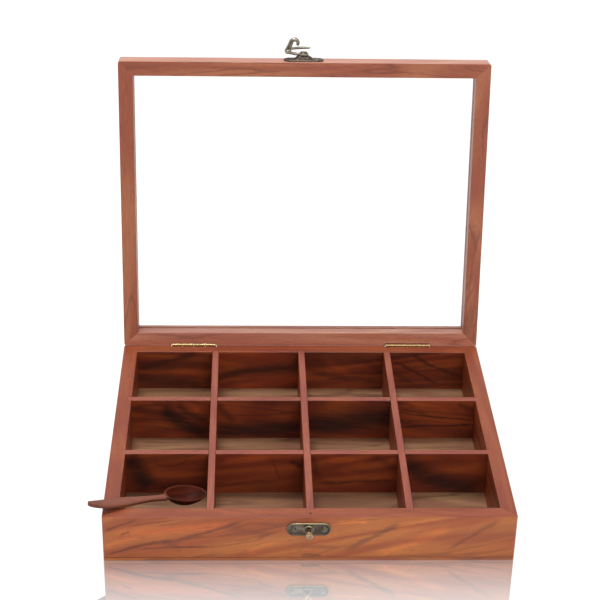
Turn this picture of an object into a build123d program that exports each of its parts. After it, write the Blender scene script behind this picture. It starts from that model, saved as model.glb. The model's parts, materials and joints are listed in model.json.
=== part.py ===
from build123d import *

import os
from math import cos, hypot, radians, sin

# Spice box of hardwood: a base with twelve compartments, a glazed lid on two
# small brass hinges, a swing hook clasp and a loose wooden spoon.
# Millimetres. The origin is the centre of the underside, +X is right,
# +Y is the hinge side and +Z is up. The lid is drawn closed, then opened.

# Carcass
box_width = 254.0
box_depth = 206.0
wall_thickness = 9.8
wall_height = 30.7
bottom_thickness = 2.0
corner_radius = 1.6
rim_radius = 0.6
inner_rim_radius = 0.5
foot_radius = 0.5

# Dividers, let into grooves in the walls and halved over each other
divider_thickness = 4.6
dado_depth = 2.0
glue_gap = 0.05
outer_compartment_width = 53.6
outer_compartment_depth = 59.0
cross_divider_shift = -0.6
divider_edge_radius = 0.6

# Lid frame and glass
lid_height = 16.5
lid_rail_width = 10.0
lid_edge_radius = 0.9
lid_inner_radius = 0.5
seam_edge_radius = 0.3
seam_gap = 0.2
glass_thickness = 2.6
glass_gap = 0.1
glass_height = 9.4
glass_groove_depth = 4.0
opening_angle = 99.5
back_bevel_gap = 0.2

# Hinges
hinge_length = 31.75
hinge_inset = 50.0
hinge_leaf_height = 11.5
hinge_leaf_thickness = 0.8
hinge_leaf_gap = 0.3
knuckle_radius = 1.35
knuckle_gap = 0.3
knuckle_count = 4
knuckle_recess_gap = 0.4
pin_radius = 0.6
pin_clearance = 0.05
leaf_corner_radius = 1.0
hinge_screw_drop = 7.2
hinge_screw_spacing = 19.0

# Countersunk screws
screw_head_radius = 2.1
screw_head_depth = 0.7
screw_shank_radius = 1.0
screw_length = 7.0
screw_clearance = 0.05

# Clasp and catch, left of the centre by a hair
clasp_offset = -1.0
plate_length = 27.5
plate_width = 10.4
plate_thickness = 1.2
plate_bevel = 0.35
plate_screw_spacing = 19.0
clasp_rise = 7.5
catch_drop = 8.6
boss_length = 15.6
boss_taper = 42.0
boss_height = 2.1
rivet_radius = 1.4
rivet_head_radius = 2.6
rivet_head_height = 1.0
rivet_clearance = 0.05
stud_neck_radius = 1.4
stud_head_radius = 2.65
stud_head_height = 1.3
stud_seat = 0.05

# Swing hook
hook_thickness = 1.8
hook_arm_width = 3.2
hook_finger_width = 2.2
hook_tip_width = 1.2
hook_tip_reach = 5.4
hook_eye_radius = 3.4
hook_play = 0.3
hook_crank = 3.0
hook_edge_radius = 0.35
scroll_width = 4.4
scroll_thickness = 2.2
scroll_rise = 6.2
scroll_lean = 1.3
scroll_curl_radius = 2.5
scroll_corner_radius = 0.9

# Spoon
spoon_tilt = 12.0
spoon_yaw = 27.0
spoon_inset = 2.5
spoon_lift = 0.6
spoon_rest_gap = 0.3
spoon_overhang = 20.0
spoon_end_bulge = (13.6, 2.7)
spoon_end_corner = 3.4
spoon_handle_width = 9.0
spoon_neck_width = 4.8
spoon_handle_thickness = 3.2
spoon_edge_radius = 0.8
spoon_rim_step = 0.4
spoon_bend_radius = 30.0
spoon_neck_run = 12.0
spoon_neck_length_in_bowl = 3.0
spoon_bowl_length = 29.0
spoon_bowl_width = 19.5
spoon_bowl_depth = 7.6
spoon_wall = 1.7
spoon_spindle_turn = 30.7

base_height = bottom_thickness + wall_height
lid_base = base_height + seam_gap
half_width = box_width / 2
half_depth = box_depth / 2
hinge_y = half_depth + hinge_leaf_thickness - knuckle_radius
hinge_z = base_height + seam_gap / 2
hinge_line = Axis((0, hinge_y, hinge_z), (1, 0, 0))
barrel_clear = knuckle_radius + knuckle_recess_gap
knuckle_length = (hinge_length - (knuckle_count - 1) * knuckle_gap) / knuckle_count
hinge_centres = {"left": hinge_inset - half_width, "right": half_width - hinge_inset}
outer_divider_x = half_width - wall_thickness - outer_compartment_width - divider_thickness / 2
outer_divider_y = half_depth - wall_thickness - outer_compartment_depth - divider_thickness / 2
long_divider_xs = {"left": -outer_divider_x, "middle": 0.0, "right": outer_divider_x}
cross_divider_ys = {
    "front": cross_divider_shift - outer_divider_y,
    "back": cross_divider_shift + outer_divider_y,
}
groove_width = divider_thickness + 2 * glue_gap
lap_level = bottom_thickness + wall_height / 2
clasp_z = lid_base + clasp_rise
catch_z = base_height - catch_drop
cut_margin = 4.0

os.makedirs("parts", exist_ok=True)


def save(piece, name):
    """Label a finished piece and write it to its own file."""
    piece.label = name
    export_step(piece, f"parts/{name}.step")


def opened(piece):
    """Turn a lid piece from the closed position to the open one."""
    return piece.rotate(hinge_line, -opening_angle)


def front_plane(x, z, stand_off=0.0):
    """A plane on the front face, looking out towards the user."""
    return Plane(origin=(x, -half_depth - stand_off, z), x_dir=(1, 0, 0), z_dir=(0, -1, 0))


def back_plane(x, z, stand_off=0.0):
    """A plane on the back face, looking out to the back."""
    return Plane(origin=(x, half_depth + stand_off, z), x_dir=(-1, 0, 0), z_dir=(0, 1, 0))


def mitre_wedge(side, bar, bottom, height):
    """A block in plan like one side of a picture frame, cut at 45 degrees."""
    reach = bar + cut_margin
    along = half_width if side in ("front", "back") else half_depth
    across = half_depth if side in ("front", "back") else half_width
    turn = {"front": 0, "right": 90, "back": 180, "left": 270}[side]
    with BuildPart() as wedge:
        with BuildSketch(Plane.XY.offset(bottom - cut_margin).rotated((0, 0, turn))):
            with BuildLine():
                Polyline(
                    (-along - cut_margin, -across - cut_margin),
                    (along + cut_margin, -across - cut_margin),
                    (along - reach, -across + reach),
                    (-along + reach, -across + reach),
                    close=True,
                )
            make_face()
        extrude(amount=height + 2 * cut_margin)
    return wedge.part


def back_bevel(side):
    """What the back edges lose, so that base and lid meet when the lid is open.

    Side is -1 for the base and +1 for the lid. The bevels lie either side of
    the hinge line, each at half the opening angle.
    """
    slope = radians(opening_angle / 2)
    along = Vector(cos(slope), side * sin(slope))
    outward = Vector(sin(slope), -side * cos(slope))
    start = Vector(hinge_y, hinge_z) - outward * back_bevel_gap
    with BuildPart() as bevel:
        with BuildSketch(Plane.YZ.offset(-half_width - cut_margin)):
            with BuildLine():
                Polyline(
                    start - along * cut_margin,
                    start + along * cut_margin,
                    start + (along + outward) * cut_margin,
                    start + (outward - along) * cut_margin,
                    close=True,
                )
            make_face()
        extrude(amount=box_width + 2 * cut_margin)
    return bevel.part


def screw_group(planes):
    """One countersunk screw on each plane, as separate solids."""
    with BuildPart() as screw:
        with BuildSketch(Plane.XZ):
            with BuildLine():
                Polyline(
                    (0, 0),
                    (screw_head_radius, 0),
                    (screw_shank_radius, -screw_head_depth),
                    (screw_shank_radius, -screw_length),
                    (0, -screw_length),
                    close=True,
                )
            make_face()
        revolve(axis=Axis.Z)
    with BuildPart() as group:
        with Locations(*planes):
            add(screw.part)
    return group.part


# Carcass: the four walls are one frame of bars, cut apart at the mitres
with BuildPart() as wall_frame:
    with BuildSketch(Plane.XY.offset(bottom_thickness)):
        RectangleRounded(box_width, box_depth, corner_radius)
        Rectangle(box_width - 2 * wall_thickness, box_depth - 2 * wall_thickness, mode=Mode.SUBTRACT)
    extrude(amount=wall_height)
    rim = wall_frame.faces().sort_by(Axis.Z)[-1]
    fillet(rim.outer_wire().edges(), rim_radius)
    rim = wall_frame.faces().sort_by(Axis.Z)[-1]
    fillet(rim.inner_wires()[0].edges(), inner_rim_radius)
    # Grooves for the dividers
    with BuildSketch(Plane.XY.offset(bottom_thickness)):
        with Locations(*[(x, 0) for x in long_divider_xs.values()]):
            Rectangle(groove_width, box_depth - 2 * wall_thickness + 2 * dado_depth)
        with Locations(*[(0, y) for y in cross_divider_ys.values()]):
            Rectangle(box_width - 2 * wall_thickness + 2 * dado_depth, groove_width)
    extrude(amount=wall_height, mode=Mode.SUBTRACT)
    add(back_bevel(-1), mode=Mode.SUBTRACT)

hinge_screw_xs = [
    centre + offset
    for centre in hinge_centres.values()
    for offset in (-hinge_screw_spacing / 2, hinge_screw_spacing / 2)
]
base_hinge_holes = [back_plane(x, hinge_z - hinge_screw_drop) for x in hinge_screw_xs]
lid_hinge_holes = [back_plane(x, hinge_z + hinge_screw_drop) for x in hinge_screw_xs]
plate_screw_xs = (clasp_offset - plate_screw_spacing / 2, clasp_offset + plate_screw_spacing / 2)
catch_holes = [front_plane(x, catch_z) for x in plate_screw_xs]
clasp_holes = [front_plane(x, clasp_z) for x in plate_screw_xs]


# Round grooves that take half of each hinge's barrel
with BuildPart() as hinge_recesses:
    for centre in hinge_centres.values():
        with BuildSketch(Plane.YZ.offset(centre - hinge_length / 2 - knuckle_recess_gap)):
            with Locations((hinge_y, hinge_z)):
                Circle(barrel_clear)
        extrude(amount=hinge_length + 2 * knuckle_recess_gap)

pilot_radius = screw_shank_radius + screw_clearance
with BuildPart() as base_front_wall:
    add(wall_frame.part)
    add(mitre_wedge("front", wall_thickness, bottom_thickness, wall_height), mode=Mode.INTERSECT)
    with Locations(*catch_holes):
        Hole(pilot_radius, depth=screw_length)
save(base_front_wall.part, "base_front_wall")

with BuildPart() as base_back_wall:
    add(wall_frame.part)
    add(mitre_wedge("back", wall_thickness, bottom_thickness, wall_height), mode=Mode.INTERSECT)
    add(hinge_recesses.part, mode=Mode.SUBTRACT)
    with Locations(*base_hinge_holes):
        Hole(pilot_radius, depth=screw_length)
save(base_back_wall.part, "base_back_wall")

with BuildPart() as base_left_wall:
    add(wall_frame.part)
    add(mitre_wedge("left", wall_thickness, bottom_thickness, wall_height), mode=Mode.INTERSECT)
save(base_left_wall.part, "base_left_wall")

with BuildPart() as base_right_wall:
    add(wall_frame.part)
    add(mitre_wedge("right", wall_thickness, bottom_thickness, wall_height), mode=Mode.INTERSECT)
save(base_right_wall.part, "base_right_wall")

with BuildPart() as bottom_panel:
    with BuildSketch():
        RectangleRounded(box_width, box_depth, corner_radius)
    extrude(amount=bottom_thickness)
    fillet(bottom_panel.faces().sort_by(Axis.Z)[0].edges(), foot_radius)
save(bottom_panel.part, "bottom_panel")

# Dividers: the long ones are slotted from below, the cross ones from above
for name, x in long_divider_xs.items():
    with BuildPart() as long_divider:
        with BuildSketch(Plane.XY.offset(bottom_thickness)):
            with Locations((x, 0)):
                Rectangle(
                    divider_thickness,
                    box_depth - 2 * wall_thickness + 2 * (dado_depth - glue_gap),
                )
        extrude(amount=wall_height)
        top_edges = long_divider.edges().filter_by(Axis.Y).group_by(Axis.Z)[-1]
        fillet(top_edges, divider_edge_radius)
        with BuildSketch(Plane.XY.offset(bottom_thickness)):
            with Locations(*[(x, y) for y in cross_divider_ys.values()]):
                Rectangle(divider_thickness + 2 * glue_gap, groove_width)
        extrude(amount=wall_height / 2 + glue_gap, mode=Mode.SUBTRACT)
    save(long_divider.part, f"long_divider_{name}")

for name, y in cross_divider_ys.items():
    with BuildPart() as cross_divider:
        with BuildSketch(Plane.XY.offset(bottom_thickness)):
            with Locations((0, y)):
                Rectangle(
                    box_width - 2 * wall_thickness + 2 * (dado_depth - glue_gap),
                    divider_thickness,
                )
        extrude(amount=wall_height)
        top_edges = cross_divider.edges().filter_by(Axis.X).group_by(Axis.Z)[-1]
        fillet(top_edges, divider_edge_radius)
        with BuildSketch(Plane.XY.offset(lap_level)):
            with Locations(*[(x, y) for x in long_divider_xs.values()]):
                Rectangle(groove_width, divider_thickness + 2 * glue_gap)
        extrude(amount=wall_height / 2, mode=Mode.SUBTRACT)
    save(cross_divider.part, f"cross_divider_{name}")

# Lid: four mitred rails with the glass in a groove
glass_window = (box_width - 2 * lid_rail_width, box_depth - 2 * lid_rail_width)
with BuildPart() as lid_frame:
    with BuildSketch(Plane.XY.offset(lid_base)):
        RectangleRounded(box_width, box_depth, corner_radius)
        Rectangle(*glass_window, mode=Mode.SUBTRACT)
    extrude(amount=lid_height)
    lid_top = lid_frame.faces().sort_by(Axis.Z)[-1]
    fillet(lid_top.outer_wire().edges(), lid_edge_radius)
    lid_top = lid_frame.faces().sort_by(Axis.Z)[-1]
    fillet(lid_top.inner_wires()[0].edges(), lid_inner_radius)
    seam_face = lid_frame.faces().sort_by(Axis.Z)[0]
    fillet(seam_face.edges(), seam_edge_radius)
    with BuildSketch(Plane.XY.offset(lid_base + glass_height)):
        Rectangle(glass_window[0] + 2 * glass_groove_depth, glass_window[1] + 2 * glass_groove_depth)
    extrude(amount=glass_thickness + 2 * glass_gap, mode=Mode.SUBTRACT)
    add(back_bevel(1), mode=Mode.SUBTRACT)

with BuildPart() as lid_front_rail:
    add(lid_frame.part)
    add(mitre_wedge("front", lid_rail_width, lid_base, lid_height), mode=Mode.INTERSECT)
    with Locations(*clasp_holes):
        Hole(pilot_radius, depth=screw_length)
save(opened(lid_front_rail.part), "lid_front_rail")

with BuildPart() as lid_back_rail:
    add(lid_frame.part)
    add(mitre_wedge("back", lid_rail_width, lid_base, lid_height), mode=Mode.INTERSECT)
    add(hinge_recesses.part, mode=Mode.SUBTRACT)
    with Locations(*lid_hinge_holes):
        Hole(pilot_radius, depth=screw_length)
save(opened(lid_back_rail.part), "lid_back_rail")

with BuildPart() as lid_left_rail:
    add(lid_frame.part)
    add(mitre_wedge("left", lid_rail_width, lid_base, lid_height), mode=Mode.INTERSECT)
save(opened(lid_left_rail.part), "lid_left_rail")

with BuildPart() as lid_right_rail:
    add(lid_frame.part)
    add(mitre_wedge("right", lid_rail_width, lid_base, lid_height), mode=Mode.INTERSECT)
save(opened(lid_right_rail.part), "lid_right_rail")

glass_cover = 2 * (glass_groove_depth - glass_gap)
with BuildPart() as glass_pane:
    with BuildSketch(Plane.XY.offset(lid_base + glass_height + glass_gap)):
        Rectangle(glass_window[0] + glass_cover, glass_window[1] + glass_cover)
    extrude(amount=glass_thickness)
save(opened(glass_pane.part), "glass_pane")

# Hinges: surface leaves on the back faces, barrels let into the seam


def hinge_leaf(centre, side, knuckles):
    """One leaf. Side is -1 below the pin and +1 above it."""
    start = centre - hinge_length / 2
    plate_y = half_depth + hinge_leaf_thickness / 2
    plate_start = barrel_clear + hinge_leaf_gap
    plate_height = hinge_leaf_height - plate_start
    with BuildPart() as leaf:
        with BuildSketch(back_plane(centre, hinge_z + side * (plate_start + plate_height / 2))) as plate:
            Rectangle(hinge_length, plate_height)
            far_corners = plate.vertices().group_by(Axis.Z)[-1 if side > 0 else 0]
            fillet(far_corners, leaf_corner_radius)
        extrude(amount=hinge_leaf_thickness)
        for index in knuckles:
            with BuildSketch(Plane.YZ.offset(start + index * (knuckle_length + knuckle_gap))):
                with Locations((hinge_y, hinge_z)):
                    Circle(knuckle_radius)
                with Locations((plate_y, hinge_z + side * plate_start / 2)):
                    Rectangle(hinge_leaf_thickness, plate_start)
            extrude(amount=knuckle_length)
        with BuildSketch(Plane.YZ.offset(start)):
            with Locations((hinge_y, hinge_z)):
                Circle(pin_radius + pin_clearance)
        extrude(amount=hinge_length, mode=Mode.SUBTRACT)
        screw_z = hinge_z + side * hinge_screw_drop
        with Locations(
            back_plane(centre - hinge_screw_spacing / 2, screw_z, hinge_leaf_thickness),
            back_plane(centre + hinge_screw_spacing / 2, screw_z, hinge_leaf_thickness),
        ):
            Cone(
                pilot_radius,
                screw_head_radius + screw_clearance,
                screw_head_depth,
                align=(Align.CENTER, Align.CENTER, Align.MAX),
                mode=Mode.SUBTRACT,
            )
            Hole(pilot_radius, depth=2 * hinge_leaf_thickness)
    return leaf.part


base_knuckles = range(0, knuckle_count, 2)
lid_knuckles = range(1, knuckle_count, 2)
for name, centre in hinge_centres.items():
    save(hinge_leaf(centre, -1, base_knuckles), f"hinge_leaf_base_{name}")
    save(opened(hinge_leaf(centre, 1, lid_knuckles)), f"hinge_leaf_lid_{name}")
    with BuildPart() as hinge_pin:
        with BuildSketch(Plane.YZ.offset(centre - hinge_length / 2)):
            with Locations((hinge_y, hinge_z)):
                Circle(pin_radius)
        extrude(amount=hinge_length)
    save(hinge_pin.part, f"hinge_pin_{name}")

base_hinge_seats = [
    back_plane(x, hinge_z - hinge_screw_drop, hinge_leaf_thickness) for x in hinge_screw_xs
]
lid_hinge_seats = [
    back_plane(x, hinge_z + hinge_screw_drop, hinge_leaf_thickness) for x in hinge_screw_xs
]
save(screw_group(base_hinge_seats), "hinge_screws_base")
save(opened(screw_group(lid_hinge_seats)), "hinge_screws_lid")

# Clasp: a plate with a raised boss on the lid, a plate with a stud on the base


def face_plate(centre_z):
    """A plate with round ends, a bevelled face and two countersunk holes."""
    with BuildPart() as plate:
        with BuildSketch(front_plane(clasp_offset, centre_z)):
            SlotOverall(plate_length, plate_width)
        extrude(amount=plate_thickness)
        chamfer(plate.faces().sort_by(Axis.Y)[0].edges(), plate_bevel)
        with Locations(*[front_plane(x, centre_z, plate_thickness) for x in plate_screw_xs]):
            Cone(
                pilot_radius,
                screw_head_radius + screw_clearance,
                screw_head_depth,
                align=(Align.CENTER, Align.CENTER, Align.MAX),
                mode=Mode.SUBTRACT,
            )
            Hole(pilot_radius, depth=2 * plate_thickness)
    return plate.part


stud_hole_radius = stud_neck_radius + stud_seat
with BuildPart() as catch_plate:
    add(face_plate(catch_z))
    with Locations(front_plane(clasp_offset, catch_z, plate_thickness)):
        Hole(stud_hole_radius, depth=2 * plate_thickness)
save(catch_plate.part, "catch_plate")

boss_top = plate_thickness + boss_height
with BuildPart() as clasp_plate:
    add(face_plate(clasp_z))
    with BuildSketch(front_plane(clasp_offset, clasp_z, plate_thickness)):
        SlotOverall(boss_length, plate_width - 2 * plate_bevel)
    extrude(amount=boss_height, taper=boss_taper)
    with Locations(front_plane(clasp_offset, clasp_z, boss_top)):
        Hole(rivet_radius + rivet_clearance, depth=2 * boss_top)
save(opened(clasp_plate.part), "clasp_plate")

hook_back = boss_top + rivet_clearance
hook_front = hook_back + hook_thickness
stud_distance = clasp_z - catch_z
hook_radius = (stud_distance + stud_neck_radius + hook_play + hook_finger_width / 2) / 2


def headed_pin(centre_z, shank_radius, neck_top, head_radius, head_height):
    """A round pin square to the front face, with a domed head on its end."""
    with BuildPart() as pin:
        with BuildSketch(front_plane(clasp_offset, centre_z)):
            Circle(shank_radius)
        extrude(amount=neck_top)
        with BuildSketch(front_plane(clasp_offset, centre_z, neck_top)):
            Circle(head_radius)
        extrude(amount=head_height)
        chamfer(pin.faces().sort_by(Axis.Y)[0].edges(), head_height / 2)
    return pin.part


crank_rise = (stud_distance + stud_head_radius) * sin(radians(hook_crank))
rivet = headed_pin(
    clasp_z, rivet_radius, hook_front + rivet_clearance, rivet_head_radius, rivet_head_height
)
save(opened(rivet), "hook_rivet")
stud = headed_pin(
    catch_z,
    stud_neck_radius,
    hook_front + crank_rise + hook_play,
    stud_head_radius,
    stud_head_height,
)
save(stud, "catch_stud")
save(
    screw_group([front_plane(x, catch_z, plate_thickness) for x in plate_screw_xs]),
    "catch_screws",
)
save(
    opened(screw_group([front_plane(x, clasp_z, plate_thickness) for x in plate_screw_xs])),
    "clasp_screws",
)

# Swing hook: an eye on the rivet, an arm that curves round to a pointed
# finger, and a scroll at the bend for the thumb
eye_plane = front_plane(clasp_offset, clasp_z, hook_back)
arm_plane = eye_plane.rotated((hook_crank, 0, 0))
bend_x = -hook_radius
with BuildPart() as swing_hook:
    with BuildSketch(arm_plane):
        with BuildLine():
            ThreePointArc(
                (0, -hook_arm_width / 2),
                (bend_x - hook_arm_width / 2, hook_radius),
                (0, 2 * hook_radius + hook_finger_width / 2),
            )
            Line(
                (0, 2 * hook_radius + hook_finger_width / 2),
                (hook_tip_reach - hook_tip_width / 2, 2 * hook_radius + hook_tip_width / 2),
            )
            ThreePointArc(
                (hook_tip_reach - hook_tip_width / 2, 2 * hook_radius + hook_tip_width / 2),
                (hook_tip_reach, 2 * hook_radius),
                (hook_tip_reach - hook_tip_width / 2, 2 * hook_radius - hook_tip_width / 2),
            )
            Line(
                (hook_tip_reach - hook_tip_width / 2, 2 * hook_radius - hook_tip_width / 2),
                (0, 2 * hook_radius - hook_finger_width / 2),
            )
            ThreePointArc(
                (0, 2 * hook_radius - hook_finger_width / 2),
                (bend_x + hook_arm_width / 2, hook_radius),
                (0, hook_arm_width / 2),
            )
            Line((0, hook_arm_width / 2), (0, -hook_arm_width / 2))
        make_face()
    extrude(amount=hook_thickness)
    fillet(swing_hook.faces().sort_by(Axis.Y)[0].edges(), hook_edge_radius)
    # The eye is flat, so the cranked arm is faced off around it
    with BuildSketch(eye_plane):
        Circle(hook_eye_radius + hook_play)
    extrude(amount=-hook_thickness, mode=Mode.SUBTRACT)
    with BuildSketch(eye_plane.offset(hook_thickness)):
        Circle(hook_eye_radius + hook_play)
    extrude(amount=hook_thickness, mode=Mode.SUBTRACT)
    with BuildSketch(eye_plane):
        Circle(hook_eye_radius)
    extrude(amount=hook_thickness)
    scroll_base = arm_plane.offset(hook_thickness / 2)
    scroll_plane = Plane(
        origin=scroll_base.from_local_coords((bend_x, hook_radius, 0)),
        x_dir=scroll_base.x_dir,
        z_dir=-scroll_base.y_dir,
    )
    with BuildLine(scroll_plane) as scroll_path:
        rise = Line((0, 0), (scroll_lean, scroll_rise))
        TangentArc(
            rise @ 1,
            rise @ 1 + Vector(2 * scroll_curl_radius, 0),
            tangent=rise % 1,
        )
    with BuildSketch(scroll_base):
        with Locations((bend_x, hook_radius)):
            RectangleRounded(scroll_thickness, scroll_width, scroll_corner_radius)
    sweep(path=scroll_path.wire())
    with BuildSketch(eye_plane):
        Circle(rivet_radius + rivet_clearance)
    extrude(amount=hook_thickness, mode=Mode.SUBTRACT)
save(opened(swing_hook.part), "swing_hook")

# Spoon: laid over the front left corner, its bowl against the first divider
spoon_forward = Vector(
    cos(radians(spoon_tilt)) * cos(radians(spoon_yaw)),
    cos(radians(spoon_tilt)) * sin(radians(spoon_yaw)),
    -sin(radians(spoon_tilt)),
)
spoon_sideways = Vector(-sin(radians(spoon_yaw)), cos(radians(spoon_yaw)), 0)
spoon_plane = Plane(
    origin=(
        -half_width + wall_thickness,
        -half_depth + wall_thickness + spoon_inset,
        base_height + spoon_lift,
    ),
    x_dir=spoon_forward,
    z_dir=spoon_forward.cross(spoon_sideways),
)
bowl_rim = spoon_handle_thickness + spoon_rim_step
# The tilted oval rim reaches this far right of the bowl's centre
bowl_run = hypot(
    spoon_bowl_length / 2 * spoon_forward.X, spoon_bowl_width / 2 * spoon_sideways.X
) + bowl_rim * spoon_plane.z_dir.X
bowl_centre = (outer_compartment_width - spoon_rest_gap - bowl_run) / spoon_forward.X
neck_x = bowl_centre - spoon_bowl_length / 2 + spoon_neck_length_in_bowl
half_handle = spoon_handle_width / 2
half_neck = spoon_neck_width / 2

with BuildPart() as spoon_handle:
    with BuildSketch() as handle_outline:
        with BuildLine():
            Polyline(
                (0, half_handle),
                (neck_x - spoon_neck_run, half_neck),
                (neck_x, half_neck),
                (neck_x, -half_neck),
                (neck_x - spoon_neck_run, -half_neck),
                (0, -half_handle),
            )
            ThreePointArc(
                (0, -half_handle),
                (-spoon_end_bulge[0], -spoon_end_bulge[1]),
                (-spoon_overhang, spoon_end_corner),
            )
            Line((-spoon_overhang, spoon_end_corner), (0, half_handle))
        make_face()
        # All corners but those at the two ends are bends
        soft_corners = handle_outline.vertices().sort_by(Axis.X)[1:-2]
        fillet(soft_corners, spoon_bend_radius)
    extrude(amount=spoon_handle_thickness)
    long_edges = spoon_handle.faces().filter_by(Axis.Z).edges().sort_by(Axis.X)[:-2]
    fillet(long_edges, spoon_edge_radius)


def bowl_body(rim_length, rim_width, depth):
    """A spindle of arcs lying along X, whose part below the rim is the bowl."""
    across = ((rim_width / 2) ** 2 / depth + depth) / 2
    sink = across - depth
    along = across * rim_length / rim_width
    end_x = along * cos(radians(spoon_spindle_turn))
    end_z = across * sin(radians(spoon_spindle_turn))
    with BuildPart() as body:
        with BuildSketch(Plane.XZ):
            with BuildLine():
                middle = ThreePointArc((-end_x, end_z), (0, across), (end_x, end_z))
                TangentArc(middle @ 1, (along, 0), tangent=middle % 1)
                TangentArc(middle @ 0, (-along, 0), tangent=-(middle % 0))
                Line((-along, 0), (along, 0))
            make_face()
        revolve(axis=Axis.X)
        split(bisect_by=Plane.XY.offset(-sink), keep=Keep.BOTTOM)
    return body.part.moved(Location((bowl_centre, 0, bowl_rim + sink)))


with BuildPart() as spoon:
    add(bowl_body(spoon_bowl_length, spoon_bowl_width, spoon_bowl_depth))
    add(spoon_handle.part)
    add(
        bowl_body(
            spoon_bowl_length - 2 * spoon_wall,
            spoon_bowl_width - 2 * spoon_wall,
            spoon_bowl_depth - spoon_wall,
        ),
        mode=Mode.SUBTRACT,
    )
save(spoon.part.moved(Location(spoon_plane)), "spoon")
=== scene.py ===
import json
import logging
from dataclasses import dataclass
from enum import Enum
from math import copysign, cos, pi, radians, sin, sqrt

import bmesh
import bpy
from mathutils import Matrix, Vector


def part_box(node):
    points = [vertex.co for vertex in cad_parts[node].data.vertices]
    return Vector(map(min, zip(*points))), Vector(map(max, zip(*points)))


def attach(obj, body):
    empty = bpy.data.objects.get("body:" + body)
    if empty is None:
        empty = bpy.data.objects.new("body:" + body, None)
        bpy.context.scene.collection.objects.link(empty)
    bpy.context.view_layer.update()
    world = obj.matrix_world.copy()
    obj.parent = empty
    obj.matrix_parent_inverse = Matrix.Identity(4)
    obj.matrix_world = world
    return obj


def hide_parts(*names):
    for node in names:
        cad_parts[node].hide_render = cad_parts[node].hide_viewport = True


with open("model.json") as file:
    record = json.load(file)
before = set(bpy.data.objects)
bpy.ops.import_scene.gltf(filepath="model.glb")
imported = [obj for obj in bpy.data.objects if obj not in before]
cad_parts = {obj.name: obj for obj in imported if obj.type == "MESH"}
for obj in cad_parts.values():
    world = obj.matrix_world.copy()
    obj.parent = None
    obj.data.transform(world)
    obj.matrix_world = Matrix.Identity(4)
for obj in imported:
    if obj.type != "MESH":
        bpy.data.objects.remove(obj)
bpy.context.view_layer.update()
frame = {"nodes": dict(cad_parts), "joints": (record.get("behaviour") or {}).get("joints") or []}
FRONT_WALL = "base_front_wall"
BACK_WALL = "base_back_wall"
CAD_BASE = (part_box(FRONT_WALL)[0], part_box(BACK_WALL)[1])

LOG = logging.getLogger("spice_box")
MM = 0.001

Colour = tuple[float, float, float, float]
Triple = tuple[float, float, float]
Pair = tuple[float, float]
# An oval's two powers: below one, its section is squarer than an ellipse
CAST_SECTION = (0.72, 0.72)
HANDLE_SECTION = (0.5, 0.62)
# Angles of the steps that round a swept bar's end, from its tip inward
END_STEPS = (1.45, 1.0, 0.5, 0.0)
# Points nearer than this, in metres, become one
WELD = 1e-6
# Share of the way to its neighbours' middle that each smoothing pass moves a point
SOFTENING = 0.5


def srgb(red: int, green: int, blue: int) -> Colour:
    """Turn a screen colour, 0 to 255, into the linear colour that shaders use.

    Args:
        red: Red, 0 to 255.
        green: Green, 0 to 255.
        blue: Blue, 0 to 255.

    Returns:
        The linear colour with an alpha of one.
    """
    linear = []
    for channel in (red, green, blue):
        share = channel / 255
        low = share / 12.92
        high = ((share + 0.055) / 1.055) ** 2.4
        linear.append(low if share <= 0.04045 else high)
    return (linear[0], linear[1], linear[2], 1.0)


def grey(level: float) -> Colour:
    """A linear grey with an alpha of one."""
    return (level, level, level, 1.0)


class Way(Enum):
    """A direction of the frame that the CAD and the scene share: X right, Y back."""

    RIGHT = (1.0, 0.0, 0.0)
    LEFT = (-1.0, 0.0, 0.0)
    BACK = (0.0, 1.0, 0.0)
    FRONT = (0.0, -1.0, 0.0)
    UP = (0.0, 0.0, 1.0)
    DOWN = (0.0, 0.0, -1.0)


class Grain(Enum):
    """How the long fibres of a board run on the closed box, turned about Z."""

    ACROSS = 0.0
    DEEP = pi / 2


class Cast(Enum):
    """Whether a streak darkens or lightens the wood; on the inner faces that is painted shade and
    painted light.
    """

    DARK = "dark"
    GLOW = "glow"


@dataclass(frozen=True)
class WoodTone:
    """Colours and polish of one kind of board."""

    base: Colour
    light: Colour
    dark: Colour
    vein: float
    rough: float
    coat: float
    gloss: float = 0.5


@dataclass(frozen=True)
class MetalTone:
    """Colours and polish of one metal finish."""

    name: str
    skin: Colour
    edge: Colour
    rough: float
    tarnish: float


@dataclass(frozen=True)
class Noise:
    """A noise: its waves per metre along and across the grain, and its texture."""

    along: float
    across: float
    detail: float
    rough: float
    warp: float = 0.0


@dataclass(frozen=True)
class Streak:
    """One streak on a board that runs across, in millimetres: wood figure, and on the inner faces
    also painted shade and painted light.

    Its middle is (x, z) in the shared frame, reach is half its length, tilt its
    rise in degrees, sag the height of its bow and width half its breadth.
    """

    x: float
    z: float
    reach: float
    tilt: float
    sag: float
    width: float
    strength: float
    cast: Cast = Cast.DARK


@dataclass(frozen=True)
class Board:
    """How a board is cut: grain, rise of the grain in degrees, place in the log."""

    node: str
    grain: Grain
    slant: float
    seed: float
    inward: Way = Way.UP
    streaks: tuple[Streak, ...] = ()


@dataclass(frozen=True)
class Zone:
    """A round part of a piece, in the shared frame, that takes another tone; the spoon's bowl uses
    it for painted shade.
    """

    tone: WoodTone
    centre: Vector
    radius: float


@dataclass(frozen=True)
class Face:
    """A side of a board, or that side and the one behind, with another tone; on inner sides, rims
    and lid rails that tone is painted shade and sheen.
    """

    tone: WoodTone
    way: Way = Way.UP
    both: bool = False


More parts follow.
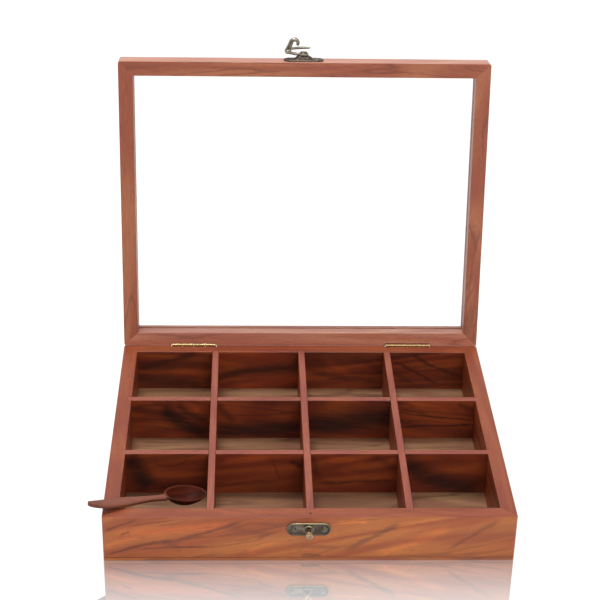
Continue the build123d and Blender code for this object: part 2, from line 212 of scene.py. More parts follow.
WALL_TONE = WoodTone(srgb(168, 85, 38), srgb(198, 120, 54), srgb(86, 39, 25),
                     vein=0.38, rough=0.42, coat=0.1)
# Rim tops: painted sheen, a pinker tone for the gloss that the tops show
RIM_SHEEN_TONE = WoodTone(srgb(140, 66, 37), srgb(161, 85, 48), srgb(100, 44, 32),
                    vein=0.3, rough=0.45, coat=0.0, gloss=0.4)
# Inner faces and dividers: the same wood with painted shade, darker and redder where the walls keep
# light out
INNER_SHADED_TONE = WoodTone(srgb(118, 46, 21), srgb(162, 76, 29), srgb(36, 12, 11),
                      vein=0.4, rough=0.45, coat=0.05)
LID_TONE = WoodTone(srgb(170, 94, 65), srgb(196, 126, 86), srgb(98, 48, 40),
                    vein=0.42, rough=0.4, coat=0.1)
# Lid's back rail: painted light, a paler tone that cancels the shade it gets by the hinge
LID_FOOT_PAINTED_LIGHT_TONE = WoodTone(srgb(198, 124, 93), srgb(216, 152, 118), srgb(130, 70, 58),
                         vein=0.42, rough=0.4, coat=0.1)
# Lid rails' inner sides and tops: painted sheen, a pale pink tone for the gloss they show at a
# grazing angle
LID_EDGE_SHEEN_TONE = WoodTone(srgb(180, 118, 92), srgb(204, 146, 118), srgb(128, 72, 58),
                         vein=0.25, rough=0.4, coat=0.1)
DIVIDER_TONE = WoodTone(srgb(146, 72, 52), srgb(164, 90, 64), srgb(104, 48, 40),
                        vein=0.28, rough=0.42, coat=0.08)
PANEL_TONE = WoodTone(srgb(138, 98, 68), srgb(166, 128, 92), srgb(96, 62, 46),
                      vein=0.6, rough=0.6, coat=0.0, gloss=0.4)
SPOON_TONE = WoodTone(srgb(114, 62, 44), srgb(138, 80, 58), srgb(66, 30, 22),
                      vein=0.35, rough=0.42, coat=0.0, gloss=0.35)
# Spoon's bowl: painted shade, a near-black red for its hollow deep in the compartment
BOWL_SHADE_TONE = WoodTone(srgb(60, 19, 8), srgb(94, 36, 13), srgb(28, 9, 5),
                     vein=0.4, rough=0.5, coat=0.0, gloss=0.08)
HINGE_TONE = MetalTone("polished_brass", srgb(156, 128, 88), srgb(208, 188, 142),
                       rough=0.26, tarnish=0.2)
CLASP_TONE = MetalTone("antique_brass", srgb(84, 74, 66), srgb(186, 176, 140),
                       rough=0.3, tarnish=0.5)
STUD_TONE = MetalTone("worn_brass", srgb(154, 124, 98), srgb(240, 226, 170),
                      rough=0.3, tarnish=0.35)
# The hook's bright edge colour is worn brass and also a painted highlight
HOOK_TONE = MetalTone("cast_brass", srgb(150, 142, 128), srgb(230, 224, 196),
                      rough=0.22, tarnish=0.6)
SOOT = srgb(40, 34, 26)
PIT_TONE = srgb(48, 22, 16)
# Factors that a colour is multiplied by; GLOWING and SHADED make the light and dark streaks, on the
# inner faces painted light and painted shade
RUDDY = (0.84, 0.58, 0.84, 1.0)
GLOWING = (1.55, 1.5, 1.35, 1.0)
SHADED = (0.44, 0.4, 0.46, 1.0)

GROWTH = Noise(5.0, 34.0, 1.5, 0.45, 0.5)
VEIN_COURSE = Noise(4.0, 50.0, 1.5, 0.45, 0.8)
VEIN_EDGE = Noise(40.0, 420.0, 3.0, 0.6)
FIBRE = Noise(55.0, 1500.0, 3.0, 0.65)
PORE = Noise(150.0, 2600.0, 1.0, 0.5)
MOTTLE = Noise(18.0, 60.0, 2.0, 0.5)
STREAK_EDGE = Noise(45.0, 320.0, 4.0, 0.65)
BLOTCH = Noise(60.0, 190.0, 3.0, 0.6)
CLOUD = Noise(420.0, 420.0, 4.0, 0.6, 0.3)
PITS = Noise(2600.0, 2600.0, 2.0, 0.5)

FRONT_STREAKS = (
    Streak(0.0, 2.3, 300.0, 0.0, 0.0, 0.5, 0.8),
    Streak(-103.8, 10.2, 21.8, 15.0, 1.5, 1.5, 0.65),
    Streak(-62.3, 22.8, 21.6, 19.0, -1.0, 1.5, 0.65),
    Streak(-84.1, 9.8, 22.7, 1.8, 0.2, 0.8, 0.55),
    Streak(-115.3, 27.0, 10.6, 21.8, 0.1, 1.0, 0.6),
    Streak(-113.1, 20.7, 3.3, 21.4, 0.1, 0.9, 0.7),
    Streak(-96.5, 28.2, 13.1, 10.2, 0.1, 0.9, 0.45),
    Streak(-30.8, 19.1, 15.8, 15.2, -0.4, 1.2, 0.3),
    Streak(37.9, 18.3, 19.1, 31.9, -0.5, 2.4, 0.55),
    Streak(100.6, 19.3, 19.1, 37.4, 0.1, 1.8, 0.45),
    Streak(107.1, 24.9, 4.9, 32.9, 0.0, 2.4, 0.35),
    Streak(0.8, 3.3, 6.8, -0.2, 0.8, 1.6, 0.6),
    Streak(-85.0, 23.4, 37.3, 4.5, 0.3, 4.5, 0.75, Cast.GLOW),
    Streak(-114.8, 14.3, 11.4, 19.3, 1.2, 3.0, 0.5, Cast.GLOW),
    Streak(-29.5, 10.7, 9.9, 30.1, -0.3, 2.6, 0.5, Cast.GLOW),
    Streak(24.0, 28.8, 10.4, 6.1, 0.0, 2.2, 0.8, Cast.GLOW),
    Streak(7.3, 14.8, 10.5, 21.4, -0.3, 2.6, 0.7, Cast.GLOW),
    Streak(63.3, 14.6, 24.4, 24.0, -1.2, 4.5, 0.6, Cast.GLOW),
    Streak(68.2, 27.1, 15.0, 15.2, 1.6, 2.0, 0.4, Cast.GLOW),
)
# Streaks on the inner faces are figure and also painted shade and light: the wide dark bands, low
# on the walls, paint the compartments' shade, and the broad glows paint where light falls
BACK_STREAKS_AND_SHADE = (
    Streak(-95.5, 25.2, 23.4, 17.3, -0.3, 3.6, 0.85),
    Streak(-95.7, 8.2, 27.1, -6.2, -0.2, 6.5, 0.8),
    Streak(-36.8, 12.2, 37.2, 9.7, 4.6, 4.0, 0.9),
    Streak(31.0, 13.1, 26.8, -8.1, -2.2, 3.2, 0.7),
    Streak(46.8, 23.3, 11.7, -27.8, 0.8, 3.0, 0.4),
    Streak(82.7, 15.7, 20.9, -30.4, 0.2, 1.6, 0.85),
    Streak(97.7, 22.5, 20.8, -27.6, -2.3, 1.8, 0.85),
    Streak(73.8, 11.5, 10.2, -32.6, -0.5, 2.2, 0.6),
    Streak(26.4, 20.9, 14.3, -36.9, -1.4, 4.0, 0.65, Cast.GLOW),
    Streak(-34.0, 23.5, 34.0, 4.0, 3.4, 9.0, 1.0, Cast.GLOW),
    Streak(-24.0, 6.0, 28.0, 6.0, 0.6, 5.0, 1.0, Cast.GLOW),
    Streak(-78.0, 16.5, 14.0, 4.0, 0.4, 5.0, 0.5, Cast.GLOW),
)
MIDDLE_ROW_STREAKS_AND_SHADE = (
    Streak(-80.9, 17.3, 19.6, -33.7, -3.7, 8.5, 1.0),
    Streak(-76.3, 23.2, 12.6, -30.9, -2.1, 3.5, 0.7),
    Streak(-104.7, 28.5, 10.3, 6.8, 0.4, 2.0, 0.5),
    Streak(-31.2, 9.1, 33.5, 1.6, 0.0, 9.5, 1.0),
    Streak(-53.1, 21.6, 10.6, -50.1, 0.0, 4.0, 0.55),
    Streak(31.5, 16.7, 34.6, 8.0, -1.7, 14.0, 1.0),
    Streak(91.1, 12.3, 25.9, 1.6, -0.3, 1.1, 0.95),
    Streak(91.0, 19.7, 25.1, -6.3, -0.2, 0.8, 0.85),
    Streak(81.6, 22.2, 16.9, -15.3, -0.5, 0.8, 0.6),
    Streak(110.8, 27.1, 6.7, -25.2, 0.2, 2.6, 0.6),
    Streak(-76.2, 27.7, 6.5, -34.0, 1.0, 2.6, 0.8, Cast.GLOW),
    Streak(84.7, 27.5, 15.8, -8.8, 1.3, 3.0, 0.6, Cast.GLOW),
)
FRONT_ROW_STREAKS_AND_SHADE = (
    Streak(-109.0, 18.4, 15.6, -60.8, -0.2, 10.5, 1.0),
    Streak(-90.5, 6.9, 24.4, -1.0, 1.2, 3.0, 0.7),
    Streak(-87.9, 28.0, 11.2, 7.0, -5.7, 0.9, 0.55),
    Streak(-6.7, 24.3, 5.1, -32.8, 0.2, 3.2, 0.85),
    Streak(-19.6, 20.7, 8.2, -73.3, -0.4, 0.8, 0.55),
    Streak(31.5, 10.4, 26.5, 3.4, 0.0, 2.2, 0.7),
    Streak(4.7, 22.6, 9.3, -76.6, 0.3, 3.0, 0.5),
    Streak(88.2, 17.3, 29.3, -22.7, -6.2, 11.0, 0.95),
    Streak(49.5, 25.4, 10.3, -32.3, 1.3, 4.0, 0.4),
    Streak(-40.4, 28.2, 15.2, 4.4, 0.6, 5.0, 0.55, Cast.GLOW),
    Streak(25.0, 28.2, 13.5, -8.3, -1.0, 4.0, 0.85, Cast.GLOW),
    Streak(28.9, 17.1, 6.6, -24.9, 0.1, 2.0, 0.6, Cast.GLOW),
    Streak(101.9, 30.3, 9.2, -3.7, 0.1, 2.6, 0.5, Cast.GLOW),
)

WALLS = (
    Board(FRONT_WALL, Grain.ACROSS, 11.0, 3.1, Way.BACK, FRONT_STREAKS),
    Board(BACK_WALL, Grain.ACROSS, 5.0, 7.4, Way.FRONT, BACK_STREAKS_AND_SHADE),
    Board("base_left_wall", Grain.DEEP, 3.0, 11.9, Way.RIGHT),
    Board("base_right_wall", Grain.DEEP, -3.0, 15.2, Way.LEFT),
)
DIVIDERS = (
    Board("long_divider_left", Grain.DEEP, 4.0, 20.3, Way.RIGHT),
    Board("long_divider_middle", Grain.DEEP, -3.0, 24.8, Way.RIGHT),
    Board("long_divider_right", Grain.DEEP, 2.0, 29.1, Way.RIGHT),
    Board("cross_divider_front", Grain.ACROSS, 8.0, 33.7, Way.BACK, FRONT_ROW_STREAKS_AND_SHADE),
    Board("cross_divider_back", Grain.ACROSS, -6.0, 38.2, Way.BACK, MIDDLE_ROW_STREAKS_AND_SHADE),
)
BOTTOM = Board("bottom_panel", Grain.ACROSS, 0.0, 43.6)
RAILS = (
    (LID_TONE, Board("lid_front_rail", Grain.ACROSS, 4.0, 51.3, Way.DOWN)),
    (LID_FOOT_PAINTED_LIGHT_TONE, Board("lid_back_rail", Grain.ACROSS, -3.0, 55.9, Way.UP)),
    (LID_TONE, Board("lid_left_rail", Grain.DEEP, 2.0, 60.4, Way.RIGHT)),
    (LID_TONE, Board("lid_right_rail", Grain.DEEP, -12.0, 64.7, Way.LEFT)),
)


class Flow:
    """An output in a node tree that takes the usual arithmetic."""

    def __init__(self, build: "TreeBuilder", socket: bpy.types.NodeSocket) -> None:
        """Keep the output and the builder of its tree."""
        self.build = build
        self.socket = socket

    def __add__(self, other: "Flow | float") -> "Flow":
        """This value plus another."""
        return self.build.maths("ADD", self, other)

    def __sub__(self, other: "Flow | float") -> "Flow":
        """This value less another."""
        return self.build.maths("SUBTRACT", self, other)

    def __rsub__(self, other: float) -> "Flow":
        """A number less this value."""
        return self.build.maths("SUBTRACT", other, self)

    def __mul__(self, other: "Flow | float") -> "Flow":
        """This value times another."""
        return self.build.maths("MULTIPLY", self, other)

    def __truediv__(self, other: "Flow | float") -> "Flow":
        """This value over another."""
        return self.build.maths("DIVIDE", self, other)

    def __abs__(self) -> "Flow":
        """This value without its sign."""
        return self.build.maths("ABSOLUTE", self)


Value = Flow | float | Vector | tuple[float, ...]


class TreeBuilder:
    """Adds nodes to a shader or geometry tree in a few words."""

    def __init__(self, tree: bpy.types.NodeTree) -> None:
        """Keep the tree that the nodes go into."""
        self.tree = tree

    @staticmethod
    def _find(sockets: bpy.types.NodeInputs, key: str | int) -> bpy.types.NodeSocket:
        """Find a socket by its place, or by its name among those in use."""
        if isinstance(key, int):
            return sockets[key]
        return next(one for one in sockets if one.enabled and one.name == key)

    def feed(self, node: bpy.types.Node, key: str | int, source: object) -> None:
        """Give an input a value, or link it from a flow.

        Args:
            node: The node.
            key: The input's name or place.
            source: A value or a flow.
        """
        target = self._find(node.inputs, key)
        if isinstance(source, Flow):
            self.tree.links.new(source.socket, target)
        else:
            target.default_value = source

    def add(self, kind: str, inputs: dict[str | int, object] | None = None,
            **settings: object) -> bpy.types.Node:
        """Add a node, set its properties and feed its inputs.

        Args:
            kind: Blender's name of the node type.
            inputs: Values or flows, by the name or the place of the input.
            **settings: Properties of the node, by name.

        Returns:
            The new node.
        """
        node = self.tree.nodes.new(kind)
        for name, value in settings.items():
            setattr(node, name, value)
        for key, source in (inputs or {}).items():
            self.feed(node, key, source)
        return node

    def flow(self, kind: str, inputs: dict[str | int, object] | None = None,
             out: str | int = 0, **settings: object) -> Flow:
        """Add a node as above and return its output of that name or place."""
        node = self.add(kind, inputs, **settings)
        return Flow(self, self._find(node.outputs, out))

    def flows(self, node: bpy.types.Node) -> dict[str, Flow]:
        """All named outputs of a node."""
        return {one.name: Flow(self, one) for one in node.outputs if one.name}

    def group(self, tree: bpy.types.NodeTree, inputs: dict[str | int, object]) -> dict[str, Flow]:
        """Place a node group, feed its inputs and return its outputs."""
        return self.flows(self.add("ShaderNodeGroup", inputs=inputs, node_tree=tree))

    def close(self, results: dict[str | int, object]) -> bpy.types.NodeTree:
        """Feed the outputs of a node group and return its tree."""
        self.add("NodeGroupOutput", results)
        return self.tree

    def maths(self, operation: str, first: Flow | float, second: Flow | float = 0.0,
              clamp: bool = False) -> Flow:
        """Add a Math node.

        Args:
            operation: The Math node's operation.
            first: A number or a flow.
            second: A number or a flow.
            clamp: Whether the result stays between 0 and 1.

        Returns:
            The result.
        """
        return self.flow("ShaderNodeMath", {0: first, 1: second}, operation=operation,
                         use_clamp=clamp)

    def vectors(self, operation: str, first: Value, second: Value) -> Flow:
        """Add a Vector Math node and return the output that its operation uses."""
        node = self.add("ShaderNodeVectorMath", {0: first, 1: second}, operation=operation)
        return Flow(self, next(one for one in node.outputs if one.enabled))

    def vector(self, x: Flow | float = 0.0, y: Flow | float = 0.0, z: Flow | float = 0.0
               ) -> Flow:
        """Put three numbers or flows together."""
        return self.flow("ShaderNodeCombineXYZ", {0: x, 1: y, 2: z})

    def scaled(self, value: Flow, span: Pair, target: Pair = (0.0, 1.0), **settings: object
               ) -> Flow:
        """Map a value from one span onto another, and no further than its ends.

        Args:
            value: The value.
            span: Where it starts and ends.
            target: What it is there.
            **settings: Properties of the Map Range node.

        Returns:
            The mapped value.
        """
        return self.flow("ShaderNodeMapRange", {
            "Value": value, "From Min": span[0], "From Max": span[1],
            "To Min": target[0], "To Max": target[1],
        }, **settings)

    def ramp(self, value: Flow, span: Pair) -> Flow:
        """Smoothly map a value from a span onto 0 to 1."""
        return self.scaled(value, span, interpolation_type="SMOOTHSTEP")

    def mix(self, share: Flow | float, first: Value, second: Value, kind: str = "RGBA",
            mode: str = "MIX") -> Flow:
        """Mix two colours or numbers.

        Args:
            share: How much of the second, a number or a flow.
            first: A colour, a number or a flow.
            second: A colour, a number or a flow.
            kind: The Mix node's data type.
            mode: The Mix node's blend type.

        Returns:
            The mixed value.
        """
        return self.flow("ShaderNodeMix", {"Factor": share, "A": first, "B": second}, "Result",
                         data_type=kind, blend_type=mode)

    def times(self, colour: Flow, factors: Value) -> Flow:
        """Multiply a colour by another."""
        return self.mix(1.0, colour, factors, mode="MULTIPLY")

    def noise(self, place: Flow, kind: Noise) -> Flow:
        """Add a noise.

        Args:
            place: A place whose X runs along the grain.
            kind: Which noise.

        Returns:
            The noise, from 0 to 1.
        """
        spot = self.vectors("MULTIPLY", place, (kind.along, kind.across, kind.across))
        return self.flow("ShaderNodeTexNoise", {
            "Vector": spot, "Scale": 1.0, "Detail": kind.detail, "Roughness": kind.rough,
            "Distortion": kind.warp,
        }, "Fac")

    def facing(self, way: Way) -> Flow:
        """How squarely the surface faces a direction, from -1 to 1."""
        normal = self.flow("ShaderNodeTexCoord", out="Normal")
        return self.vectors("DOT_PRODUCT", normal, way.value)

    def seen(self) -> Flow:
        """Tell the rays that show a surface from those that only light by it.

        Returns:
            One for the rays that show it and zero for the others.
        """
        path = self.flows(self.add("ShaderNodeLightPath"))
        shown = self.maths("MAXIMUM", path["Is Camera Ray"], path["Is Transmission Ray"])
        return self.maths("MAXIMUM", shown, path["Is Glossy Ray"])

    def layer(self, share: Flow | float, below: Flow, above: Flow) -> Flow:
        """Mix two shaders, with share telling how much of the one above."""
        return self.flow("ShaderNodeMixShader", {0: share, 1: below, 2: above})


def new_group(name: str, inputs: dict[str, tuple[str, ...]], outputs: dict[str, tuple[str, ...]],
              kind: str = "ShaderNodeTree") -> tuple[TreeBuilder, dict[str, Flow]]:
    """Start a node group with named sockets.

    Args:
        name: The group's name.
        inputs: Names of the inputs, by their type.
        outputs: Names of the outputs, by their type.
        kind: Blender's name of the tree type.

    Returns:
        The builder and the group's inputs.
    """
    tree = bpy.data.node_groups.new(name, kind)
    for side, sockets in (("INPUT", inputs), ("OUTPUT", outputs)):
        for value, labels in sockets.items():
            for label in labels:
                tree.interface.new_socket(label, in_out=side, socket_type=f"NodeSocket{value}")
    build = TreeBuilder(tree)
    return build, build.flows(build.add("NodeGroupInput"))


def emptied(owner: bpy.types.Material | bpy.types.World) -> TreeBuilder:
    """Empty a material's or a world's own tree.

    Args:
        owner: The material or the world.

    Returns:
        The builder of its tree.
    """
    owner.use_nodes = True
    owner.node_tree.nodes.clear()
    return TreeBuilder(owner.node_tree)


class Effects:
    """The shader node groups that several finishes share."""

    streak_body = (0.1, 1.15)
    streak_ends = (0.7, 1.12)
    seed_drift = (0.371, 0.813, 0.557)
    ring_count = 11.0
    ring_span = (0.15, 0.95)
    ring_share = 0.62
    mottle_span = (0.3, 0.75)
    mottle_share = 0.4
    vein_level = 0.545
    vein_edge = (0.0, 0.022)
    vein_ragged = 0.07
    vein_patches = (0.6, 0.74)
    fibre_span = (0.25, 0.75)
    fibre_shades = (0.78, 1.16)
    pore_span = (0.62, 0.72)
    pore_share = 0.45
    wear_reach = 0.5 * MM
    wear_samples = 4
    wear_turn = (0.004, 0.09)
    wear_gaps = (0.3, 0.6)
    cloud_span = (0.35, 0.7)
    cloud_height = 0.6

    def __init__(self) -> None:
        """Build each group once."""
        self.figure = self._wood_figure()
        self.wear = self._edge_wear()
        self.tarnish = self._tarnish()
        self.streak = self._streak()

    def _streak(self) -> bpy.types.NodeTree:
        """Build one bowed streak that lies in the X and Z of the shared frame.

        Returns:
            A group from a position, the streak's sizes and a ragged noise to
            a mask.
        """
        build, given = new_group(
            "wood_streak",
            {"Vector": ("Place", "Middle"), "Float": ("Tilt", "Reach", "Sag", "Width", "Ragged")},
            {"Float": ("Mask",)},
        )
        turned = build.flow("ShaderNodeVectorRotate", {
            "Vector": given["Place"], "Center": given["Middle"], "Angle": given["Tilt"],
        }, rotation_type="Y_AXIS")
        offset = build.vectors("SUBTRACT", turned, given["Middle"])
        spot = build.flows(build.add("ShaderNodeSeparateXYZ", {0: offset}))
        along = spot["X"] / given["Reach"]
        bow = (1.0 - along * along) * given["Sag"]
        across = abs((spot["Z"] - bow) / given["Width"] + given["Ragged"])
        body = 1.0 - build.ramp(across, self.streak_body)
        ends = 1.0 - build.ramp(abs(along), self.streak_ends)
        return build.close({"Mask": body * ends})

    def _wood_figure(self) -> bpy.types.NodeTree:
        """Build the growth figure, veins, fibres and pores of the rosewood.

        Returns:
            A group from a board's own position, X along the grain, to its
            colour and its height.
        """
        build, given = new_group(
            "wood_figure",
            {"Vector": ("Place",), "Float": ("Seed", "Vein"), "Color": ("Base", "Light", "Dark")},
            {"Color": ("Colour",), "Float": ("Height",)},
        )
        drift = build.vector(*(given["Seed"] * share for share in self.seed_drift))
        place = build.vectors("ADD", given["Place"], drift)
        # Growth figure: level lines of a long slow noise
        rings = build.maths("PINGPONG", build.noise(place, GROWTH) * self.ring_count, 1.0)
        band = build.ramp(rings, self.ring_span)
        colour = build.mix(band * self.ring_share, given["Base"], given["Light"])
        mottle = build.ramp(build.noise(place, MOTTLE), self.mottle_span)
        colour = build.mix(mottle * self.mottle_share, colour, build.times(colour, RUDDY))
        # Veins: few, dark and narrow, with a ragged edge
        course = build.noise(place, VEIN_COURSE) + build.noise(place, VEIN_EDGE) * self.vein_ragged
        thin = 1.0 - build.ramp(abs(course - self.vein_level), self.vein_edge)
        veins = build.maths("MAXIMUM", thin, build.ramp(course, self.vein_patches))
        veins = build.maths("MULTIPLY", veins, given["Vein"], clamp=True)
        colour = build.mix(veins, colour, given["Dark"])
        # Fibres and pores
        fibre = build.noise(place, FIBRE)
        shade = build.scaled(fibre, self.fibre_span, self.fibre_shades)
        shade = build.flow("ShaderNodeCombineColor", {0: shade, 1: shade, 2: shade})
        pores = build.ramp(build.noise(place, PORE), self.pore_span)
        colour = build.mix(pores * self.pore_share, build.times(colour, shade), given["Dark"])
        return build.close({"Colour": colour, "Height": fibre - pores})

    def _edge_wear(self) -> bpy.types.NodeTree:
        """Build a mask of sharp edges, broken up by a noise.

        Returns:
            A group from a position and the scale of the noise to a mask.
        """
        build, given = new_group("edge_wear", {"Vector": ("Place",), "Float": ("Grit",)},
                                 {"Float": ("Mask",)})
        rounded = build.flow("ShaderNodeBevel", {"Radius": self.wear_reach},
                             samples=self.wear_samples)
        normal = build.flow("ShaderNodeNewGeometry", out="Normal")
        turn = 1.0 - build.vectors("DOT_PRODUCT", rounded, normal)
        grit = build.flow("ShaderNodeTexNoise", {"Vector": given["Place"], "Scale": given["Grit"]},
                          "Fac")
        edge = build.ramp(turn, self.wear_turn)
        mask = build.maths("MULTIPLY", edge, build.ramp(grit, self.wear_gaps), clamp=True)
        return build.close({"Mask": mask})

    def _tarnish(self) -> bpy.types.NodeTree:
        """Build the cloudy patches and fine pits of aged metal.

        Returns:
            A group from a position and an amount to a cloud mask and a height.
        """
        build, given = new_group("metal_tarnish", {"Vector": ("Place",), "Float": ("Amount",)},
                                 {"Float": ("Cloud", "Height")})
        cloud = build.ramp(build.noise(given["Place"], CLOUD), self.cloud_span)
        cloud = cloud * given["Amount"]
        height = cloud * self.cloud_height + build.noise(given["Place"], PITS)
        return build.close({"Cloud": cloud, "Height": height})


class Paint:
    """Makes the materials, one for each board and one for each metal."""

    # Waves of the worn edges' breaks, how rough a finish gets, and its bump
    wood_grit = 90.0
    wood_roughening = 0.12
    wood_bump = (0.25, 0.12 * MM)
    metal_grit = 700.0
    metal_roughening = 0.3
    metal_bump = (0.2, 0.05 * MM)
    wood_wear = 0.3
    wood_ior = 1.46
    glass_ior = 1.36
    coat_rough = 0.3
    # The painted highlight on a plate's bead: how strong, and over which facings it fades
    bead_highlight = 0.8
    bead_highlight_slope = (0.92, 0.6)
    dulling = 0.55
    facing_span = (0.45, 0.85)
    zone_edge = 0.8
    pit_span = (1.15 * MM, 0.5 * MM)
    raggedness = 3.2
    # Streaks wider than this, in millimetres, get calmer edges
    ragged_width = 2.2
    glow_gaps = (0.22, 0.52)
    shade_gaps = (0.05, 0.5)
    shade_depth = 0.65

    def __init__(self, effects: Effects) -> None:
        """Keep the shared effects."""
        self.effects = effects

    @staticmethod
    def _finish(build: TreeBuilder, height: Flow, bump: Pair, inputs: dict[str, object]) -> None:
        """Give a material its bump and its shader.

        Args:
            build: The material's builder.
            height: The height that the bump follows.
            bump: The bump's strength and its depth in metres.
            inputs: The shader's inputs.
        """
        bump = build.flow("ShaderNodeBump", {
            "Strength": bump[0], "Distance": bump[1], "Height": height,
        })
        shader = build.flow("ShaderNodeBsdfPrincipled", inputs | {"Normal": bump})
        build.add("ShaderNodeOutputMaterial", {"Surface": shader})

    def wood(self, tone: WoodTone, name: str, setting: Matrix, seed: float,
             faces: tuple[Face, ...] = (), streaks: tuple[Streak, ...] = (),
             pit: Vector | None = None, zone: Zone | None = None) -> bpy.types.Material:
        """Make the material of one board.

        Args:
            tone: The board's colours and polish.
            name: The material's name.
            setting: The board's middle, with X along its grain.
            seed: Where in the log the board was cut.
            faces: Its sides that have other tones.
            streaks: Streaks that are placed one by one.
            pit: A small dark pit in the surface, in the shared frame.
            zone: A round part with another tone, such as the painted shade of the spoon's bowl.

        Returns:
            The material.
        """
        material = bpy.data.materials.new(name)
        build = emptied(material)
        spot = build.flow("ShaderNodeTexCoord", out="Object")
        place = build.flow("ShaderNodeMapping", {
            "Vector": spot, "Location": setting.translation, "Rotation": setting.to_euler(),
        }, vector_type="TEXTURE")
        look = {key: getattr(tone, key) for key in ("base", "light", "dark", "vein", "gloss")}
        off_top = 1.0
        patches = []
        for face in faces:
            facing = build.facing(face.way)
            mask = build.ramp(abs(facing) if face.both else facing, self.facing_span)
            patches.append((face.tone, mask))
            if face.way is Way.UP:
                off_top = 1.0 - mask
        if zone is not None:
            span = build.vectors("DISTANCE", spot, zone.centre)
            inside = build.ramp(span, (zone.radius, zone.radius * self.zone_edge))
            patches.append((zone.tone, inside))
        for other, mask in patches:
            for key, value in look.items():
                kind = "FLOAT" if key in ("vein", "gloss") else "RGBA"
                look[key] = build.mix(mask, value, getattr(other, key), kind)
        gloss = look.pop("gloss")
        figure = build.group(self.effects.figure, {
            "Place": place, "Seed": seed, **{key.title(): look[key] for key in look},
        })
        wear = build.group(self.effects.wear, {"Place": place, "Grit": self.wood_grit})
        colour = build.mix(wear["Mask"] * self.wood_wear, figure["Colour"], tone.light)
        if streaks:
            colour = self._streaks(build, colour, (spot, place), streaks, off_top, tone.dark)
        if pit is not None:
            inside = build.ramp(build.vectors("DISTANCE", spot, pit), self.pit_span)
            colour = build.mix(inside, colour, PIT_TONE)
        self._finish(build, figure["Height"], self.wood_bump, {
            "Base Color": colour,
            "Roughness": figure["Height"] * self.wood_roughening + tone.rough,
            "Specular IOR Level": gloss, "IOR": self.wood_ior, "Coat Weight": tone.coat,
            "Coat Roughness": self.coat_rough,
        })
        return material

    def _streaks(self, build: TreeBuilder, colour: Flow, places: tuple[Flow, Flow],
                 streaks: tuple[Streak, ...], off_top: Flow | float, dark: Colour) -> Flow:
        """Lay a board's streaks over its figure; on the inner faces they are also painted shade and
        painted light.

        Args:
            build: The material's builder.
            colour: The colour so far.
            places: Position in the shared frame, and along and across the grain.
            streaks: The streaks.
            off_top: A mask that is zero on the board's top.
            dark: The board's dark colour.

        Returns:
            The new colour.
        """
        spot, place = places
        rough = build.noise(place, STREAK_EDGE)
        ragged = (rough - 0.5) * self.raggedness
        total = dict.fromkeys(Cast, 0.0)
        for streak in streaks:
            mask = build.group(self.effects.streak, {
                "Place": spot, "Middle": Vector((streak.x, 0.0, streak.z)) * MM,
                "Tilt": radians(streak.tilt), "Reach": streak.reach * MM,
                "Sag": streak.sag * MM, "Width": streak.width * MM,
                "Ragged": ragged * min(1.0, self.ragged_width / streak.width),
            })["Mask"] * streak.strength
            total[streak.cast] = build.maths("MAXIMUM", mask, total[streak.cast])
        glow = build.maths("MULTIPLY", total[Cast.GLOW], off_top)
        glow = glow * build.ramp(build.noise(place, BLOTCH), self.glow_gaps)
        colour = build.mix(glow, colour, build.times(colour, GLOWING))
        shade = build.maths("MULTIPLY", total[Cast.DARK], off_top)
        shade = shade * build.ramp(rough, self.shade_gaps)
        deep = build.times(build.mix(self.shade_depth, colour, dark), SHADED)
        return build.mix(shade, colour, deep)

    def metal(self, tone: MetalTone, bead: bool = False) -> bpy.types.Material:
        """Make a metal finish with bright edges and tarnish; the edges are wear, and on the hook
        also a painted highlight.

        Args:
            tone: The finish's colours and polish.
            bead: Whether the slopes of a plate on the front face get a painted highlight.

        Returns:
            The material.
        """
        material = bpy.data.materials.new(f"{tone.name}_bead" if bead else tone.name)
        build = emptied(material)
        place = build.flow("ShaderNodeTexCoord", out="Object")
        tarnish = build.group(self.effects.tarnish, {"Place": place, "Amount": tone.tarnish})
        wear = build.group(self.effects.wear, {"Place": place, "Grit": self.metal_grit})
        dull = build.mix(self.dulling, tone.skin, SOOT)
        colour = build.mix(tarnish["Cloud"], tone.skin, dull)
        # Bright edges: wear, and on the hook also a painted highlight
        colour = build.mix(wear["Mask"], colour, tone.edge)
        # Painted highlight: slopes that turn away from the front, on the bead and the collar, take
        # the bright edge colour
        if bead:
            slope = build.ramp(build.facing(Way.FRONT), self.bead_highlight_slope)
            colour = build.mix(slope * self.bead_highlight, colour, tone.edge)
        self._finish(build, tarnish["Height"], self.metal_bump, {
            "Base Color": colour, "Metallic": 1.0,
            "Roughness": tarnish["Cloud"] * self.metal_roughening + tone.rough,
        })
        return material

    def glass(self) -> bpy.types.Material:
        """Make clear window glass.

        Returns:
            The material.
        """
        material = bpy.data.materials.new("clear_glass")
        build = emptied(material)
        shader = build.flow("ShaderNodeBsdfPrincipled", {
            "Base Color": grey(1.0), "Roughness": 0.0, "IOR": self.glass_ior,
            "Transmission Weight": 1.0,
        })
        build.add("ShaderNodeOutputMaterial", {"Surface": shader})
        return material


def add_object(name: str, data: bpy.types.ID) -> bpy.types.Object:
    """Make an object and link it to the scene.

    Args:
        name: The object's name.
        data: Its mesh, lamp or camera.

    Returns:
        The new object.
    """
    piece = bpy.data.objects.new(name, data)
    bpy.context.scene.collection.objects.link(piece)
    return piece


def to_object(name: str, shape: bmesh.types.BMesh) -> bpy.types.Object:
    """Turn an edited shape into an object.

    Args:
        name: The object's name.
        shape: The shape, which is freed.

    Returns:
        The new mesh object, linked to the scene.
    """
    mesh = bpy.data.meshes.new(name)
    shape.to_mesh(mesh)
    shape.free()
    return add_object(name, mesh)


def full_turn(steps: int) -> list[float]:
    """Angles that divide a full turn evenly."""
    return [2 * pi * step / steps for step in range(steps)]


